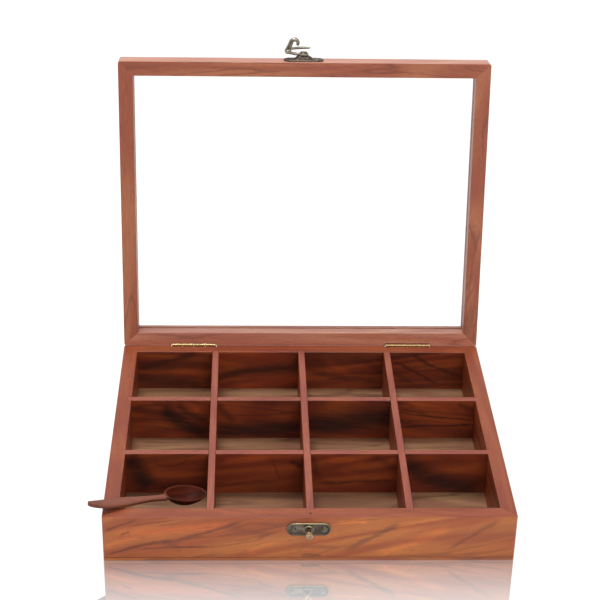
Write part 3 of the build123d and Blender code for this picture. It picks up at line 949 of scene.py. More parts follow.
def squarish(angle: float, powers: Pair) -> Pair:
    """Find a point of an oval whose powers make it squarer.

    Args:
        angle: Where on the oval, in radians.
        powers: The powers across and up.

    Returns:
        The point, from -1 to 1 both ways.
    """
    across = copysign(abs(cos(angle)) ** powers[0], cos(angle))
    up = copysign(abs(sin(angle)) ** powers[1], sin(angle))
    return across, up


def loft(name: str, rings: list[list[Vector]]) -> bpy.types.Object:
    """Skin a row of closed rings of points and close both ends.

    Args:
        name: The object's name.
        rings: Rings with the same number of points each.

    Returns:
        The new mesh object, linked to the scene.
    """
    shape = bmesh.new()
    rows = [[shape.verts.new(point) for point in ring] for ring in rings]
    count = len(rings[0])
    for row, after in zip(rows, rows[1:]):
        for index in range(count):
            follow = (index + 1) % count
            shape.faces.new((row[index], row[follow], after[follow], after[index]))
    shape.faces.new(list(reversed(rows[0])))
    shape.faces.new(rows[-1])
    bmesh.ops.remove_doubles(shape, verts=shape.verts, dist=WELD)
    bmesh.ops.recalc_face_normals(shape, faces=shape.faces)
    return to_object(name, shape)


def lathe(name: str, profile: list[Pair], steps: int = 48) -> bpy.types.Object:
    """Turn a profile about the Z axis.

    Args:
        name: The object's name.
        profile: Radius and height of each step, in millimetres.
        steps: Points round the axis.

    Returns:
        The new mesh object.
    """
    return loft(name, [
        [Vector((radius * cos(angle), radius * sin(angle), height)) * MM
         for angle in full_turn(steps)]
        for radius, height in profile
    ])


def slot_ring(half_length: float, half_width: float, height: float, steps: int = 16
              ) -> list[Vector]:
    """Draw the outline of a plate with round ends, from millimetres to metres.

    Args:
        half_length: Half its length.
        half_width: Half its width.
        height: Its height off the face.
        steps: Points round each end.

    Returns:
        The points of the outline.
    """
    centre = half_length - half_width
    ring = []
    for side in (1, -1):
        for step in range(steps + 1):
            angle = (step / steps - 0.5) * pi
            x = side * (centre + half_width * cos(angle))
            ring.append(Vector((x, side * half_width * sin(angle), height)) * MM)
    return ring


def sweep(name: str, path: list[Vector], halves: list[Pair], flat: Vector, steps: int = 20
          ) -> bpy.types.Object:
    """Run an oval section along a path, with rounded ends.

    Args:
        name: The object's name.
        path: Points of the middle line, in metres.
        halves: At each point, half the width and half the thickness, in metres.
        flat: The direction that the thickness is measured in.
        steps: Points round the section.

    Returns:
        The new mesh object.
    """
    rings = []
    last = len(path) - 1
    for index, (place, (width, thick)) in enumerate(zip(path, halves)):
        ahead = (path[min(index + 1, last)] - path[max(index - 1, 0)]).normalized()
        side = flat.cross(ahead).normalized()
        rise = ahead.cross(side).normalized()
        stages = [(0.0, 1.0)]
        if index == 0:
            stages = [(-sin(turn), cos(turn)) for turn in END_STEPS]
        if index == last:
            stages = [(sin(turn), cos(turn)) for turn in reversed(END_STEPS)]
        for push, scale in stages:
            ring = []
            for angle in full_turn(steps):
                across, up = squarish(angle, CAST_SECTION)
                ring.append(
                    place + ahead * (push * min(width, thick))
                    + side * (width * scale * across)
                    + rise * (thick * scale * up)
                )
            rings.append(ring)
    return loft(name, rings)


def bake_modifiers(piece: bpy.types.Object) -> None:
    """Turn the modified shape into the piece's own mesh and drop the modifiers.

    Args:
        piece: The object.
    """
    bpy.context.view_layer.update()
    graph = bpy.context.evaluated_depsgraph_get()
    mesh = bpy.data.meshes.new_from_object(piece.evaluated_get(graph))
    old = piece.data
    piece.modifiers.clear()
    piece.data = mesh
    mesh.name = piece.name
    bpy.data.meshes.remove(old)


def join(name: str, parts: list[bpy.types.Object]) -> bpy.types.Object:
    """Join meshes into one object without touching their shapes.

    Args:
        name: The new object's name.
        parts: The objects, which are removed.

    Returns:
        The new mesh object.
    """
    shape = bmesh.new()
    for part in parts:
        shape.from_mesh(part.data)
    piece = to_object(name, shape)
    for part in parts:
        data = part.data
        bpy.data.objects.remove(part)
        bpy.data.meshes.remove(data)
    return piece


def fuse(name: str, parts: list[bpy.types.Object], voxel: float, passes: int
         ) -> bpy.types.Object:
    """Join parts under one skin and soften it.

    Args:
        name: The object's name.
        parts: Closed meshes that overlap.
        voxel: Fineness of the skin, in metres.
        passes: How often it is smoothed.

    Returns:
        The new mesh object.
    """
    piece = join(name, parts)
    remesh = piece.modifiers.new("skin", "REMESH")
    remesh.mode = "VOXEL"
    remesh.voxel_size = voxel
    soft = piece.modifiers.new("soft", "SMOOTH")
    soft.factor = SOFTENING
    soft.iterations = passes
    bake_modifiers(piece)
    return piece


def settle(piece: bpy.types.Object, place: Matrix, material: bpy.types.Material, body: str,
           node: str, crease: float = 35.0) -> None:
    """Move a mesh to its place, finish it and tie it to its body.

    Args:
        piece: The object, at the origin.
        place: Where its mesh goes.
        material: Its finish.
        body: The CAD body it moves with.
        node: The CAD node it stands for.
        crease: Angle in degrees past which an edge stays sharp.
    """
    piece.data.transform(place)
    piece.data.materials.clear()
    piece.data.materials.append(material)
    piece.data.shade_smooth()
    piece.data.set_sharp_from_angle(angle=radians(crease))
    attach(piece, body)
    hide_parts(node)
    LOG.info("%s: %d faces", piece.name, len(piece.data.polygons))


def dress(node: str, material: bpy.types.Material) -> None:
    """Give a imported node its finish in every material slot.

    Args:
        node: The node.
        material: Its finish.
    """
    mesh = frame["nodes"][node].data
    if not mesh.materials:
        mesh.materials.append(material)
    for index in range(len(mesh.materials)):
        mesh.materials[index] = material
    LOG.info("%s is finished in %s", node, material.name)


def lid_opening() -> Matrix:
    """Find the turn that takes the closed lid to where it stands open.

    Returns:
        The turn about the hinge line.
    """
    joint = next(one for one in frame["joints"] if one["name"] == "lid_hinge")
    pin = Matrix.Translation(Vector(joint["pos_m"]))
    return pin @ Matrix.Rotation(radians(joint["range_deg"][0]), 4, "X") @ pin.inverted()


@dataclass
class Woodwork:
    """The boards of the base and the lid, and the lid's glass."""

    paint: Paint
    lid: Matrix
    pit_from_rim_edge: float = 4.2 * MM

    def build(self) -> None:
        """Dress every board and the glass."""
        low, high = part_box(FRONT_WALL)
        pit = Vector((0.0, low[1] + self.pit_from_rim_edge, high[2]))
        for board in WALLS:
            # Inner sides get the painted shade tone, the rim tops the painted sheen tone
            faces = (Face(INNER_SHADED_TONE, board.inward), Face(RIM_SHEEN_TONE))
            self._dress(board, WALL_TONE, faces, pit if board.node == FRONT_WALL else None)
        for board in DIVIDERS:
            # The dividers are in the painted shade tone all round, with the divider tone on top
            faces = (Face(INNER_SHADED_TONE, board.inward, both=True), Face(DIVIDER_TONE))
            self._dress(board, INNER_SHADED_TONE, faces)
        self._dress(BOTTOM, WALL_TONE, (Face(PANEL_TONE),))
        for tone, board in RAILS:
            # Rails' inner sides and tops take the painted sheen tone; the back rail's own tone is
            # painted light
            faces = (Face(LID_EDGE_SHEEN_TONE, board.inward), Face(LID_EDGE_SHEEN_TONE))
            self._dress(board, tone, faces, opening=self.lid)
        dress("glass_pane", self.paint.glass())

    def _dress(self, board: Board, tone: WoodTone, faces: tuple[Face, ...],
               pit: Vector | None = None, opening: Matrix | None = None) -> None:
        """Give one board its wood.

        Args:
            board: How the board is cut.
            tone: The tone of its plain faces.
            faces: Its sides that have other tones.
            pit: A small dark pit in it, in the shared frame.
            opening: The lid's turn, for a board of the lid.
        """
        low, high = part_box(board.node)
        rise = Matrix.Rotation(radians(-board.slant), 3, "Y")
        turn = Matrix.Rotation(board.grain.value, 3, "Z") @ rise
        if opening is not None:
            turn = opening.to_3x3() @ turn
        setting = Matrix.Translation((Vector(low) + Vector(high)) / 2) @ turn.to_4x4()
        dress(board.node, self.paint.wood(tone, board.node, setting, board.seed, faces,
                                          board.streaks, pit))


def face_frame(x: float, z: float, turn: float = 0.0) -> Matrix:
    """Millimetres out from the front face: X right, Y up, Z towards the user.

    Args:
        x: The frame's place from side to side, in millimetres.
        z: The frame's height, in millimetres.
        turn: Zero for the front face, pi for the back face.

    Returns:
        The frame's matrix, in metres.
    """
    low, high = CAD_BASE
    y = low[1] if turn == 0.0 else high[1]
    upright = Matrix.Rotation(pi / 2, 4, "X")
    return Matrix.Translation(Vector((x * MM, y, z * MM))) @ Matrix.Rotation(turn, 4, "Z") @ upright


@dataclass
class ScrewSet:
    """Countersunk slotted screws, made by one Geometry Nodes tree."""

    head_radius: float = 2.1 * MM
    head_depth: float = 0.7 * MM
    dome: float = 0.34 * MM
    shank_radius: float = 1.0 * MM
    length: float = 7.0 * MM
    slot_width: float = 0.5 * MM
    slot_depth: float = 0.55 * MM
    steps: int = 32
    dome_rings: int = 16

    def __post_init__(self) -> None:
        """Build the tree once for every set, with a socket for each size."""
        self.sizes = {key: size for key, size in vars(self).items() if isinstance(size, float)}
        self.tree = self._tree()

    def _tree(self) -> bpy.types.NodeTree:
        """Build the tree: a screw on each point, turned at random, then real.

        Returns:
            The tree.
        """
        build, size = new_group("slotted_screws", {
            "Geometry": ("Places",), "Float": tuple(self.sizes), "Int": ("Seed",),
            "Material": ("Finish",),
        }, {"Geometry": ("Screws",)}, "GeometryNodeTree")
        cone = build.flow("GeometryNodeMeshCone", {
            "Vertices": self.steps, "Radius Top": size["head_radius"],
            "Radius Bottom": size["shank_radius"], "Depth": size["head_depth"],
        })
        cone = self._lift(build, cone, size["head_depth"] * -1.0)
        ball = build.flow("GeometryNodeMeshUVSphere", {
            "Segments": self.steps, "Rings": self.dome_rings, "Radius": size["head_radius"],
        })
        squash = build.vector(1.0, 1.0, size["dome"] / size["head_radius"])
        cap = build.flow("GeometryNodeTransform", {"Geometry": ball, "Scale": squash})
        # The blade is longer than the head is wide, and its lower half cuts the slot
        cut = build.vector(size["head_radius"] * 3.0, size["slot_width"], size["slot_depth"] * 2.0)
        blade = build.flow("GeometryNodeMeshCube", {"Size": cut})
        blade = self._lift(build, blade, size["dome"])
        shank = build.flow("GeometryNodeMeshCylinder", {
            "Vertices": self.steps, "Radius": size["shank_radius"],
            "Depth": size["length"] - size["head_depth"],
        })
        shank = self._lift(build, shank, (size["length"] + size["head_depth"]) * -0.5)
        slotted = [
            build.flow("GeometryNodeMeshBoolean", {"Mesh 1": part, "Mesh 2": blade},
                       operation="DIFFERENCE", solver="EXACT")
            for part in (cone, cap)
        ]
        screw = build.add("GeometryNodeJoinGeometry")
        for part in (*slotted, shank):
            build.feed(screw, 0, part)
        angle = build.add("FunctionNodeRandomValue", {
            "Min": 0.0, "Max": pi, "Seed": size["Seed"],
        }, data_type="FLOAT")
        value = next(one for one in angle.outputs if one.enabled)
        spread = build.flow("GeometryNodeInstanceOnPoints", {
            "Points": size["Places"], "Instance": build.flows(screw)["Geometry"],
            "Rotation": build.vector(z=Flow(build, value)),
        })
        real = build.flow("GeometryNodeRealizeInstances", {0: spread})
        finish = build.flow("GeometryNodeSetMaterial", {
            "Geometry": real, "Material": size["Finish"],
        })
        return build.close({0: finish})

    @staticmethod
    def _lift(build: TreeBuilder, mesh: Flow, height: Flow) -> Flow:
        """Move a mesh along Z inside the tree."""
        return build.flow("GeometryNodeTransform", {
            "Geometry": mesh, "Translation": build.vector(z=height),
        })

    def place(self, node: str, spots: list[Pair], height: float, frame_at: Matrix,
              material: bpy.types.Material, body: str, slot: str, seed: int) -> None:
        """Make one node's screws as a plain mesh.

        Args:
            node: The CAD node they replace.
            spots: Their places in the face's frame, in millimetres.
            height: How far their heads' rims stand off the face, in millimetres.
            frame_at: The face's frame.
            material: Their finish.
            body: The body they move with.
            slot: The record's material slot; not used.
            seed: Seed of the slots' turns.
        """
        mesh = bpy.data.meshes.new(node)
        mesh.from_pydata([Vector((x, y, height)) * MM for x, y in spots], [], [])
        piece = add_object(f"{node}_slotted", mesh)
        modifier = piece.modifiers.new("screws", "NODES")
        modifier.node_group = self.tree
        values = self.sizes | {"Seed": seed, "Finish": material}
        for item in self.tree.interface.items_tree:
            if item.name in values:
                modifier[item.identifier] = values[item.name]
        bake_modifiers(piece)
        settle(piece, frame_at, material, body, node)


@dataclass
class Fittings:
    """The hinges' brass and the clasp, in millimetres from the face they sit on."""

    paint: Paint
    lid: Matrix
    clasp_x: float = -1.0
    clasp_z: float = 40.4
    catch_z: float = 24.1
    hinge_z: float = 32.8
    hinge_centre: float = 77.0
    screw_drop: float = 7.2
    half_screws: float = 9.5
    leaf_screws: float = 0.8
    plate_screws: float = 1.0
    half_length: float = 13.75
    half_width: float = 5.2
    catch_half_width: float = 4.6
    plate_crease: float = 60.0
    turned_crease: float = 50.0
    # Inset from the plate's outline and height, over the bead
    rim: tuple[Pair, ...] = (
        (0.0, 0.0), (0.0, 0.6), (0.12, 0.9), (0.35, 1.12), (0.6, 1.18), (0.85, 1.12),
        (1.05, 0.95), (1.25, 0.84),
    )
    # Half length, half width and height of the stamped boss, from foot to top
    boss: tuple[Triple, ...] = (
        (7.9, 3.8, 0.84), (7.5, 3.7, 0.9), (6.9, 3.5, 1.2), (5.3, 3.2, 2.6), (4.7, 3.0, 3.1),
        (4.2, 2.8, 3.26), (3.4, 2.4, 3.3),
    )
    # Radius and height of the turned pieces
    collar: tuple[Pair, ...] = (
        (1.5, 0.6), (3.1, 0.7), (3.15, 1.1), (2.9, 1.6), (2.4, 1.9), (1.7, 2.0), (1.45, 1.6),
    )
    stud: tuple[Pair, ...] = (
        (1.4, 0.0), (1.4, 4.4), (1.5, 6.2), (2.2, 6.4), (2.6, 6.6), (2.65, 7.1), (2.5, 7.45),
        (2.15, 7.66), (1.6, 7.73), (1.2, 7.6), (0.3, 7.52),
    )
    rivet: tuple[Pair, ...] = (
        (1.4, 0.0), (1.4, 5.19), (2.4, 5.21), (2.6, 5.4), (2.55, 5.75), (2.2, 6.0),
        (1.4, 6.14), (0.4, 6.18),
    )

    def build(self) -> None:
        """Build every fitting."""
        brass = self.paint.metal(HINGE_TONE)
        bronze = self.paint.metal(CLASP_TONE)
        worn = self.paint.metal(STUD_TONE)
        for part in ("leaf_base", "leaf_lid", "pin"):
            for side in ("left", "right"):
                dress(f"hinge_{part}_{side}", brass)
        catch = face_frame(self.clasp_x, self.catch_z)
        clasp = self.lid @ face_frame(self.clasp_x, self.clasp_z)
        face = loft("catch_face", self._rim(self.catch_half_width))
        stamped = join("catch_plate_stamped", [face, lathe("catch_collar", self.collar)])
        # The catch plate's finish paints a highlight on the slopes of its bead and collar
        beaded = self.paint.metal(CLASP_TONE, bead=True)
        boss = [slot_ring(*stage) for stage in self.boss]
        raised = loft("clasp_plate_stamped", self._rim(self.half_width) + boss)
        stud = lathe("catch_stud_turned", self.stud)
        rivet = lathe("hook_rivet_turned", self.rivet)
        for piece, place, material, body, node, crease in (
            (stamped, catch, beaded, "base", "catch_plate", self.plate_crease),
            (raised, clasp, bronze, "lid", "clasp_plate", self.plate_crease),
            (stud, catch, worn, "base", "catch_stud", self.turned_crease),
            (rivet, clasp, bronze, "lid", "hook_rivet", self.turned_crease),
        ):
            settle(piece, place, material, body, node, crease)
        self._screws(brass, bronze, catch, clasp)

    def _rim(self, width: float) -> list[list[Vector]]:
        """The plate's edge and the bead that runs round it."""
        return [slot_ring(self.half_length - inset, width - inset, height)
                for inset, height in self.rim]

    def _screws(self, brass: bpy.types.Material, bronze: bpy.types.Material, catch: Matrix,
                clasp: Matrix) -> None:
        """Put slotted screws in the leaves and the plates.

        Args:
            brass: The finish of the hinges.
            bronze: The finish of the clasp.
            catch: The frame of the catch's plate.
            clasp: The frame of the clasp's plate.
        """
        screws = ScrewSet()
        pair = [(-self.half_screws, 0.0), (self.half_screws, 0.0)]
        leaves = [(side * self.hinge_centre + x, 0.0) for side in (-1, 1) for x, _ in pair]
        below = face_frame(0.0, self.hinge_z - self.screw_drop, pi)
        above = self.lid @ face_frame(0.0, self.hinge_z + self.screw_drop, pi)
        leaf, plate = self.leaf_screws, self.plate_screws
        for node, spots, height, place, material, body, slot, seed in (
            ("hinge_screws_base", leaves, leaf, below, brass, "base", "polished_brass", 3),
            ("hinge_screws_lid", leaves, leaf, above, brass, "lid", "polished_brass", 5),
            ("catch_screws", pair, plate, catch, bronze, "base", "antique_brass", 8),
            ("clasp_screws", pair, plate, clasp, bronze, "lid", "antique_brass", 12),
        ):
            screws.place(node, spots, height, place, material, body, slot, seed)


@dataclass
class SwingHook:
    """The cast hook: an eye, a bowed arm, a finger and a thumb scroll."""

    paint: Paint
    lid: Matrix
    x: float = -1.0
    z: float = 40.4
    stand_off: float = 3.35
    radius: float = 9.55
    thickness: float = 1.8
    bow: float = 1.16
    arm_start: float = 0.08
    arm_width: float = 3.4
    finger_width: float = 2.2
    tip_width: float = 1.0
    tip_reach: float = 5.4
    tip_thinning: float = 0.5
    arm_steps: int = 30
    # Share of the arm after which it narrows to the finger
    narrow_from: float = 0.5
    tip_shares: tuple[float, ...] = (0.25, 0.5, 0.75, 1.0)
    eye_radius: float = 3.4
    eye_hole: float = 1.45
    eye_soft: float = 0.3
    crank: float = 3.0
    scroll_inset: float = 0.4
    scroll_rise: float = 5.75
    scroll_lean: float = 0.6
    scroll_radius: float = 2.7
    scroll_sink: float = 0.2
    scroll_turn: float = 200.0
    curl_steps: int = 12
    # What the curl loses of its radius, half width and half thickness
    curl_losses: Triple = (0.2, 0.45, 0.5)
    # Half width and half thickness of the scroll on its way up
    scroll_halves: tuple[Pair, ...] = (
        (2.3, 2.3), (2.1, 2.2), (1.9, 2.1), (1.7, 2.1), (1.6, 2.1),
    )
    voxel: float = 0.16 * MM
    smoothing: int = 4
    crease: float = 70.0

    def build(self) -> None:
        """Cast the hook and hang it on its rivet."""
        bent = Matrix.Rotation(radians(self.crank), 4, "X")
        parts = [self._arm(), self._scroll()]
        for part in parts:
            part.data.transform(bent)
        hook = fuse("swing_hook_cast", [*parts, self._eye()], self.voxel, self.smoothing)
        rivet = face_frame(self.x, self.z) @ Matrix.Translation((0.0, 0.0, self.stand_off * MM))
        settle(hook, self.lid @ rivet, self.paint.metal(HOOK_TONE), "hook",
               "swing_hook", self.crease)

    def _arm(self) -> bpy.types.Object:
        """Sweep the bowed arm with its finger.

        Returns:
            The arm's mesh object.
        """
        path = []
        halves = []
        middle = self.thickness / 2
        for step in range(self.arm_steps + 1):
            share = step / self.arm_steps
            angle = -pi / 2 - pi * (self.arm_start + (1 - self.arm_start) * share)
            bulge = 1 + (self.bow - 1) * sin(pi * share)
            path.append(Vector((self.radius * bulge * cos(angle), self.radius * (1 + sin(angle)),
                                middle)) * MM)
            fall = max(0.0, share - self.narrow_from) / (1 - self.narrow_from)
            width = self.arm_width + (self.finger_width - self.arm_width) * fall
            halves.append((width / 2 * MM, middle * MM))
        for share in self.tip_shares:
            reach = (self.tip_reach - self.tip_width / 2) * share
            width = self.finger_width + (self.tip_width - self.finger_width) * share
            path.append(Vector((reach, 2 * self.radius, middle)) * MM)
            halves.append((width / 2 * MM, (self.thickness - self.tip_thinning * share) / 2 * MM))
        return sweep("hook_arm", path, halves, Vector(Way.UP.value))

    def _scroll(self) -> bpy.types.Object:
        """Sweep the thumb scroll that rises at the bend and curls over.

        Returns:
            The scroll's mesh object.
        """
        bend = self.radius * self.bow
        foot = Vector((-bend + self.scroll_inset, self.radius, self.thickness / 2))
        way = Vector((self.scroll_lean + bend - self.radius, 0.0, self.scroll_rise))
        rises = [step / (len(self.scroll_halves) - 1) for step in range(len(self.scroll_halves))]
        path = [foot + way * share for share in rises]
        halves = list(self.scroll_halves)
        width, thick = halves[-1]
        tighter, narrower, thinner = self.curl_losses
        centre = foot + way + Vector((self.scroll_radius, 0.0, -self.scroll_sink))
        for step in range(1, self.curl_steps + 1):
            share = step / self.curl_steps
            angle = pi - radians(self.scroll_turn) * share
            radius = self.scroll_radius * (1 - tighter * share)
            path.append(centre + Vector((cos(angle), 0.0, sin(angle))) * radius)
            halves.append((width - narrower * share, thick - thinner * share))
        return sweep("hook_scroll", [place * MM for place in path],
                     [(wide * MM, high * MM) for wide, high in halves], Vector(Way.BACK.value))

    def _eye(self) -> bpy.types.Object:
        """Turn the flat ring round the rivet.

        Returns:
            The ring's mesh object.
        """
        outer, hole, top, soft = self.eye_radius, self.eye_hole, self.thickness, self.eye_soft
        return lathe("hook_eye", [
            (hole, soft), (hole + soft, 0.0), (outer - soft, 0.0), (outer, soft),
            (outer, top - soft), (outer - soft, top), (hole + soft, top), (hole, top - soft),
            (hole, soft),
        ])


@dataclass
class Spoon:
    """The small wooden spoon, carved in one piece."""

    paint: Paint
    origin: Triple = (-117.2, -90.7, 33.3)
    tilt: float = 12.0
    yaw: float = 27.0
    thickness: float = 3.2
    thinning: float = 0.5
    thin_from: float = 2.0
    handle_half: float = 4.5
    handle_points: int = 24
    neck_half: float = 2.4
    neck_start: float = 21.5
    neck_end: float = 31.6
    neck_flare: float = 0.5
    neck_steps: int = 8
    end_reach: float = 20.0
    end_corner: float = 3.4
    end_round: float = 2.4
    bowl_at: float = 45.03
    bowl_rim: float = 3.6
    bowl_length: float = 29.0
    bowl_width: float = 19.5
    bowl_depth: float = 7.6
    bowl_edge: float = 0.1
    bowl_curve: Pair = (2.1, 0.82)
    bowl_points: int = 56
    wall: float = 1.7
    # How far the bowl's painted shade reaches, as a share of half its width
    tone_reach: float = 1.6
    grain_height: float = 1.5
    seed: float = 71.0
    voxel: float = 0.3 * MM
    smoothing: int = 5
    crease: float = 80.0
    end_places: tuple[float, ...] = (-19.7, -18.8, -17.0, -14.5, -11.0, -7.0, -3.0, 0.0)
    inner_shares: tuple[float, ...] = (0.02, 0.2, 0.4, 0.6, 0.75, 0.87, 0.95, 1.0)
    outer_shares: tuple[float, ...] = (1.0, 0.97, 0.9, 0.8, 0.65, 0.45, 0.22, 0.02)

    def frame_at(self) -> Matrix:
        """Find how the spoon lies.

        Returns:
            Its own frame: X to the bowl, Y to the left, Z up.
        """
        tilt, yaw = radians(self.tilt), radians(self.yaw)
        forward = Vector((cos(tilt) * cos(yaw), cos(tilt) * sin(yaw), -sin(tilt)))
        side = Vector((-sin(yaw), cos(yaw), 0.0))
        turn = Matrix((forward, side, forward.cross(side))).transposed().to_4x4()
        return Matrix.Translation(Vector(self.origin) * MM) @ turn

    def build(self) -> None:
        """Carve the spoon and lay it over the corner."""
        spoon = fuse("spoon_carved", [self._handle(), self._bowl()], self.voxel, self.smoothing)
        place = self.frame_at()
        middle = Vector((self.bowl_at / 2, 0.0, self.grain_height)) * MM
        setting = place @ Matrix.Translation(middle)
        hollow = Vector((self.bowl_at, 0.0, self.bowl_rim - self.wall)) * MM
        # Painted shade: the bowl and its hollow take the near-black bowl tone
        zone = Zone(BOWL_SHADE_TONE, place @ hollow, self.bowl_width / 2 * self.tone_reach * MM)
        material = self.paint.wood(SPOON_TONE, "spoon_wood", setting, self.seed, zone=zone)
        settle(spoon, place, material, "spoon", "spoon", self.crease)

    def _handle(self) -> bpy.types.Object:
        """Skin the handle, with its slanting end and slender neck.

        Returns:
            The handle's mesh object.
        """
        rings = []
        for along, left, right in self._outline():
            share = (along - self.thin_from) / (self.neck_start - self.thin_from)
            share = max(0.0, min(1.0, share))
            thick = self.thickness - self.thinning * share
            place = Vector((along, (left + right) / 2, self.thickness - thick / 2))
            ring = []
            for angle in full_turn(self.handle_points):
                across, up = squarish(angle, HANDLE_SECTION)
                offset = Vector((0.0, across * (left - right) / 2, up * thick / 2))
                ring.append((place + offset) * MM)
            rings.append(ring)
        return loft("spoon_handle", rings)

    def _outline(self) -> list[Triple]:
        """List places along the handle.

        Returns:
            How far along each is, and where the left and right edges are there.
        """
        rows = []
        for along in self.end_places:
            fall = along / -self.end_reach
            left = self.handle_half + (self.end_corner - self.handle_half) * fall
            sag = sqrt(max(0.0, 1.0 - fall ** self.end_round))
            right = self.end_corner - (self.end_corner + self.handle_half) * sag
            rows.append((along, left, right))
        for step in range(1, self.neck_steps + 1):
            share = step / self.neck_steps
            ease = share * share * (3 - 2 * share)
            half = self.handle_half + (self.neck_half - self.handle_half) * ease
            rows.append((self.neck_start * share, half, -half))
        rows.append(((self.neck_start + self.neck_end) / 2, self.neck_half, -self.neck_half))
        flared = self.neck_half + self.neck_flare
        rows.append((self.neck_end, flared, -flared))
        return rows

    def _bowl(self) -> bpy.types.Object:
        """Skin the bowl: its inside from the middle to the rim, then its outside.

        Returns:
            The bowl's mesh object.
        """
        halves = Vector((self.bowl_length / 2, self.bowl_width / 2, self.bowl_depth))
        inner = halves - Vector((self.wall, self.wall, self.wall))
        outer = halves - Vector((self.bowl_edge, self.bowl_edge, 0.0))
        rings = []
        curve, depth_curve = self.bowl_curve
        for size, shares in ((inner, self.inner_shares), (outer, self.outer_shares)):
            for share in shares:
                height = self.bowl_rim - size.z * (1 - share ** curve) ** depth_curve
                rings.append([
                    Vector((self.bowl_at + size.x * share * cos(angle),
                            size.y * share * sin(angle), height)) * MM
                    for angle in full_turn(self.bowl_points)
                ])
        return loft("spoon_bowl", rings)


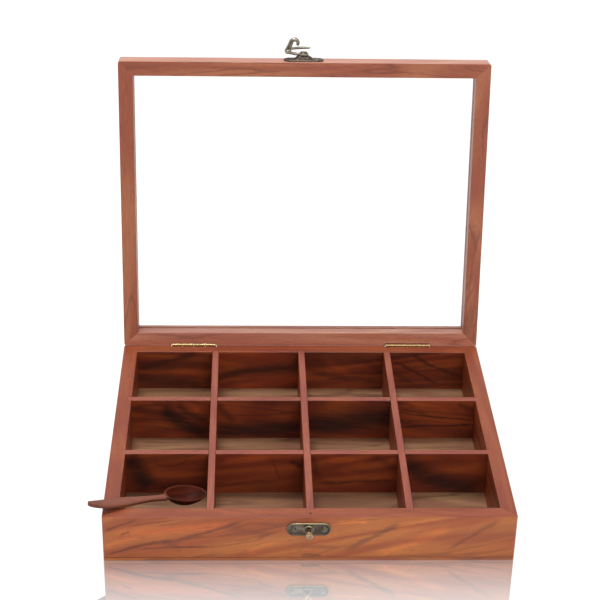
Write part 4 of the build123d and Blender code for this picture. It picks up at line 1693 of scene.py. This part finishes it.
@dataclass
class Studio:
    """The floor, the light and the camera of the photograph, in metres."""

    camera_mm: Triple = (-40.404, -885.777, 616.791)
    # The camera's yaw, pitch and roll in degrees
    camera_turn: Triple = (2.2595, 28.9268, 1.2845)
    camera_sight: float = 20.0
    focal_pixels: float = 1591.82
    picture_pixels: float = 600.0
    sensor_mm: float = 36.0
    lamp_aim: Triple = (0.0, 0.0, 0.05)
    # Each lamp's name, place, power in watts and size
    lamps: tuple[tuple[str, Triple, float, float], ...] = (
        ("top_lamp", (-0.2, 0.25, 1.4), 12.0, 0.4),
        ("front_lamp", (0.35, -1.0, 0.9), 6.5, 0.8),
    )
    world_light: float = 0.4
    card_place: float = -1.5
    card_half: float = 2.5
    card_span: Pair = (0.05, 1.3)
    card_level: float = 0.12
    floor_half: float = 3.0
    floor_level: float = 0.86
    floor_glow: float = 0.88
    floor_fill: float = 0.27
    shadow_share: float = 0.25
    mirror_share: float = 0.88
    mirror_rough: float = 0.03
    mirror_reach: float = 0.095
    # The mirror starts under the front edge and ends beside the box
    mirror_overlap: float = 0.0015
    mirror_sides: Pair = (0.03, -0.004)

    def build(self) -> None:
        """Set up the whole studio."""
        self._camera()
        self._world()
        self._lamps()
        self._card()
        self._floor()

    def _camera(self) -> None:
        """Place the camera where the photograph's corners put it."""
        yaw, pitch, roll = (radians(turn) for turn in self.camera_turn)
        ahead = Vector((sin(yaw) * cos(pitch), cos(yaw) * cos(pitch), -sin(pitch)))
        side = Vector((cos(yaw), -sin(yaw), 0.0))
        above = side.cross(ahead)
        right = side * cos(roll) + above * sin(roll)
        up = above * cos(roll) - side * sin(roll)
        data = bpy.data.cameras.new("photo_camera")
        data.sensor_width = self.sensor_mm
        data.lens = self.focal_pixels / self.picture_pixels * self.sensor_mm
        data.clip_end = self.camera_sight
        camera = add_object("photo_camera", data)
        axes = Matrix((right, up, -ahead)).transposed()
        camera.matrix_world = Matrix.Translation(Vector(self.camera_mm) * MM) @ axes.to_4x4()
        bpy.context.scene.camera = camera

    def _world(self) -> None:
        """A plain world: white where it is seen, softer where it lights."""
        world = bpy.data.worlds.new("studio_world")
        bpy.context.scene.world = world
        build = emptied(world)
        strength = build.scaled(build.seen(), (0.0, 1.0), (self.world_light, 1.0))
        back = build.flow("ShaderNodeBackground", {"Color": grey(1.0), "Strength": strength})
        build.add("ShaderNodeOutputWorld", {"Surface": back})

    def _lamps(self) -> None:
        """A soft lamp above the box and a weaker one in front of it."""
        for name, place, power, size in self.lamps:
            data = bpy.data.lights.new(name, "AREA")
            data.energy = power
            data.size = size
            lamp = add_object(name, data)
            lamp.location = place
            aim = Vector(self.lamp_aim) - Vector(place)
            lamp.rotation_euler = aim.to_track_quat("-Z", "Y").to_euler()

    @staticmethod
    def _sheet(name: str, corners: list[Triple]) -> tuple[bpy.types.Object, TreeBuilder]:
        """Make a four-cornered piece of the stage.

        Args:
            name: The name of the piece and of its material.
            corners: Its corners, in metres.

        Returns:
            The object, and the builder of its material.
        """
        mesh = bpy.data.meshes.new(name)
        mesh.from_pydata(corners, [], [(0, 1, 2, 3)])
        sheet = add_object(name, mesh)
        material = bpy.data.materials.new(name)
        mesh.materials.append(material)
        return sheet, emptied(material)

    def _card(self) -> None:
        """A dim card behind the camera that only gloss sees, as a dark room."""
        half, away, (low, high) = self.card_half, self.card_place, self.card_span
        corners = [(-half, away, low), (half, away, low), (half, away, high), (-half, away, high)]
        card, build = self._sheet("studio_card", corners)
        for ray in ("camera", "diffuse", "transmission", "shadow", "volume_scatter"):
            setattr(card, f"visible_{ray}", False)
        dim = build.flow("ShaderNodeEmission", {"Color": grey(self.card_level)})
        build.add("ShaderNodeOutputMaterial", {"Surface": dim})

    def _floor(self) -> None:
        """A white floor, glossy in front of the box as on the photograph."""
        half = self.floor_half
        corners = [(-half, -half, 0), (half, -half, 0), (half, half, 0), (-half, half, 0)]
        floor, build = self._sheet("studio_floor", corners)
        matt = build.flow("ShaderNodeBsdfDiffuse", {"Color": grey(self.floor_level)})
        white = build.flow("ShaderNodeEmission", {"Strength": self.floor_glow})
        fill = build.flow("ShaderNodeEmission", {"Strength": self.floor_fill})
        shaded = build.layer(self.shadow_share, white, matt)
        lit = build.flow("ShaderNodeAddShader", {0: shaded, 1: fill})
        mirror = build.flow("ShaderNodeBsdfGlossy", {
            "Color": grey(1.0), "Roughness": self.mirror_rough,
        })
        spot = build.flow("ShaderNodeTexCoord", out="Object")
        place = build.flows(build.add("ShaderNodeSeparateXYZ", {0: spot}))
        left, front = CAD_BASE[0][:2]
        ahead = build.maths("LESS_THAN", place["Y"], front + self.mirror_overlap)
        fade = build.scaled(place["Y"], (front - self.mirror_reach, front),
                            (0.0, self.mirror_share))
        beside = build.ramp(abs(place["X"]) + left, self.mirror_sides)
        polished = build.layer(fade * ahead * beside, lit, mirror)
        choice = build.layer(build.seen(), matt, polished)
        build.add("ShaderNodeOutputMaterial", {"Surface": choice})


def main() -> None:
    """Build and dress the spice box, then the studio round it."""
    logging.basicConfig(level=logging.INFO, format="%(name)s: %(message)s")
    scene = bpy.context.scene
    scene.view_settings.view_transform = "Standard"
    paint = Paint(Effects())
    lid = lid_opening()
    Woodwork(paint, lid).build()
    Fittings(paint, lid).build()
    SwingHook(paint, lid).build()
    Spoon(paint).build()
    Studio().build()


if __name__ == "__main__":
    main()
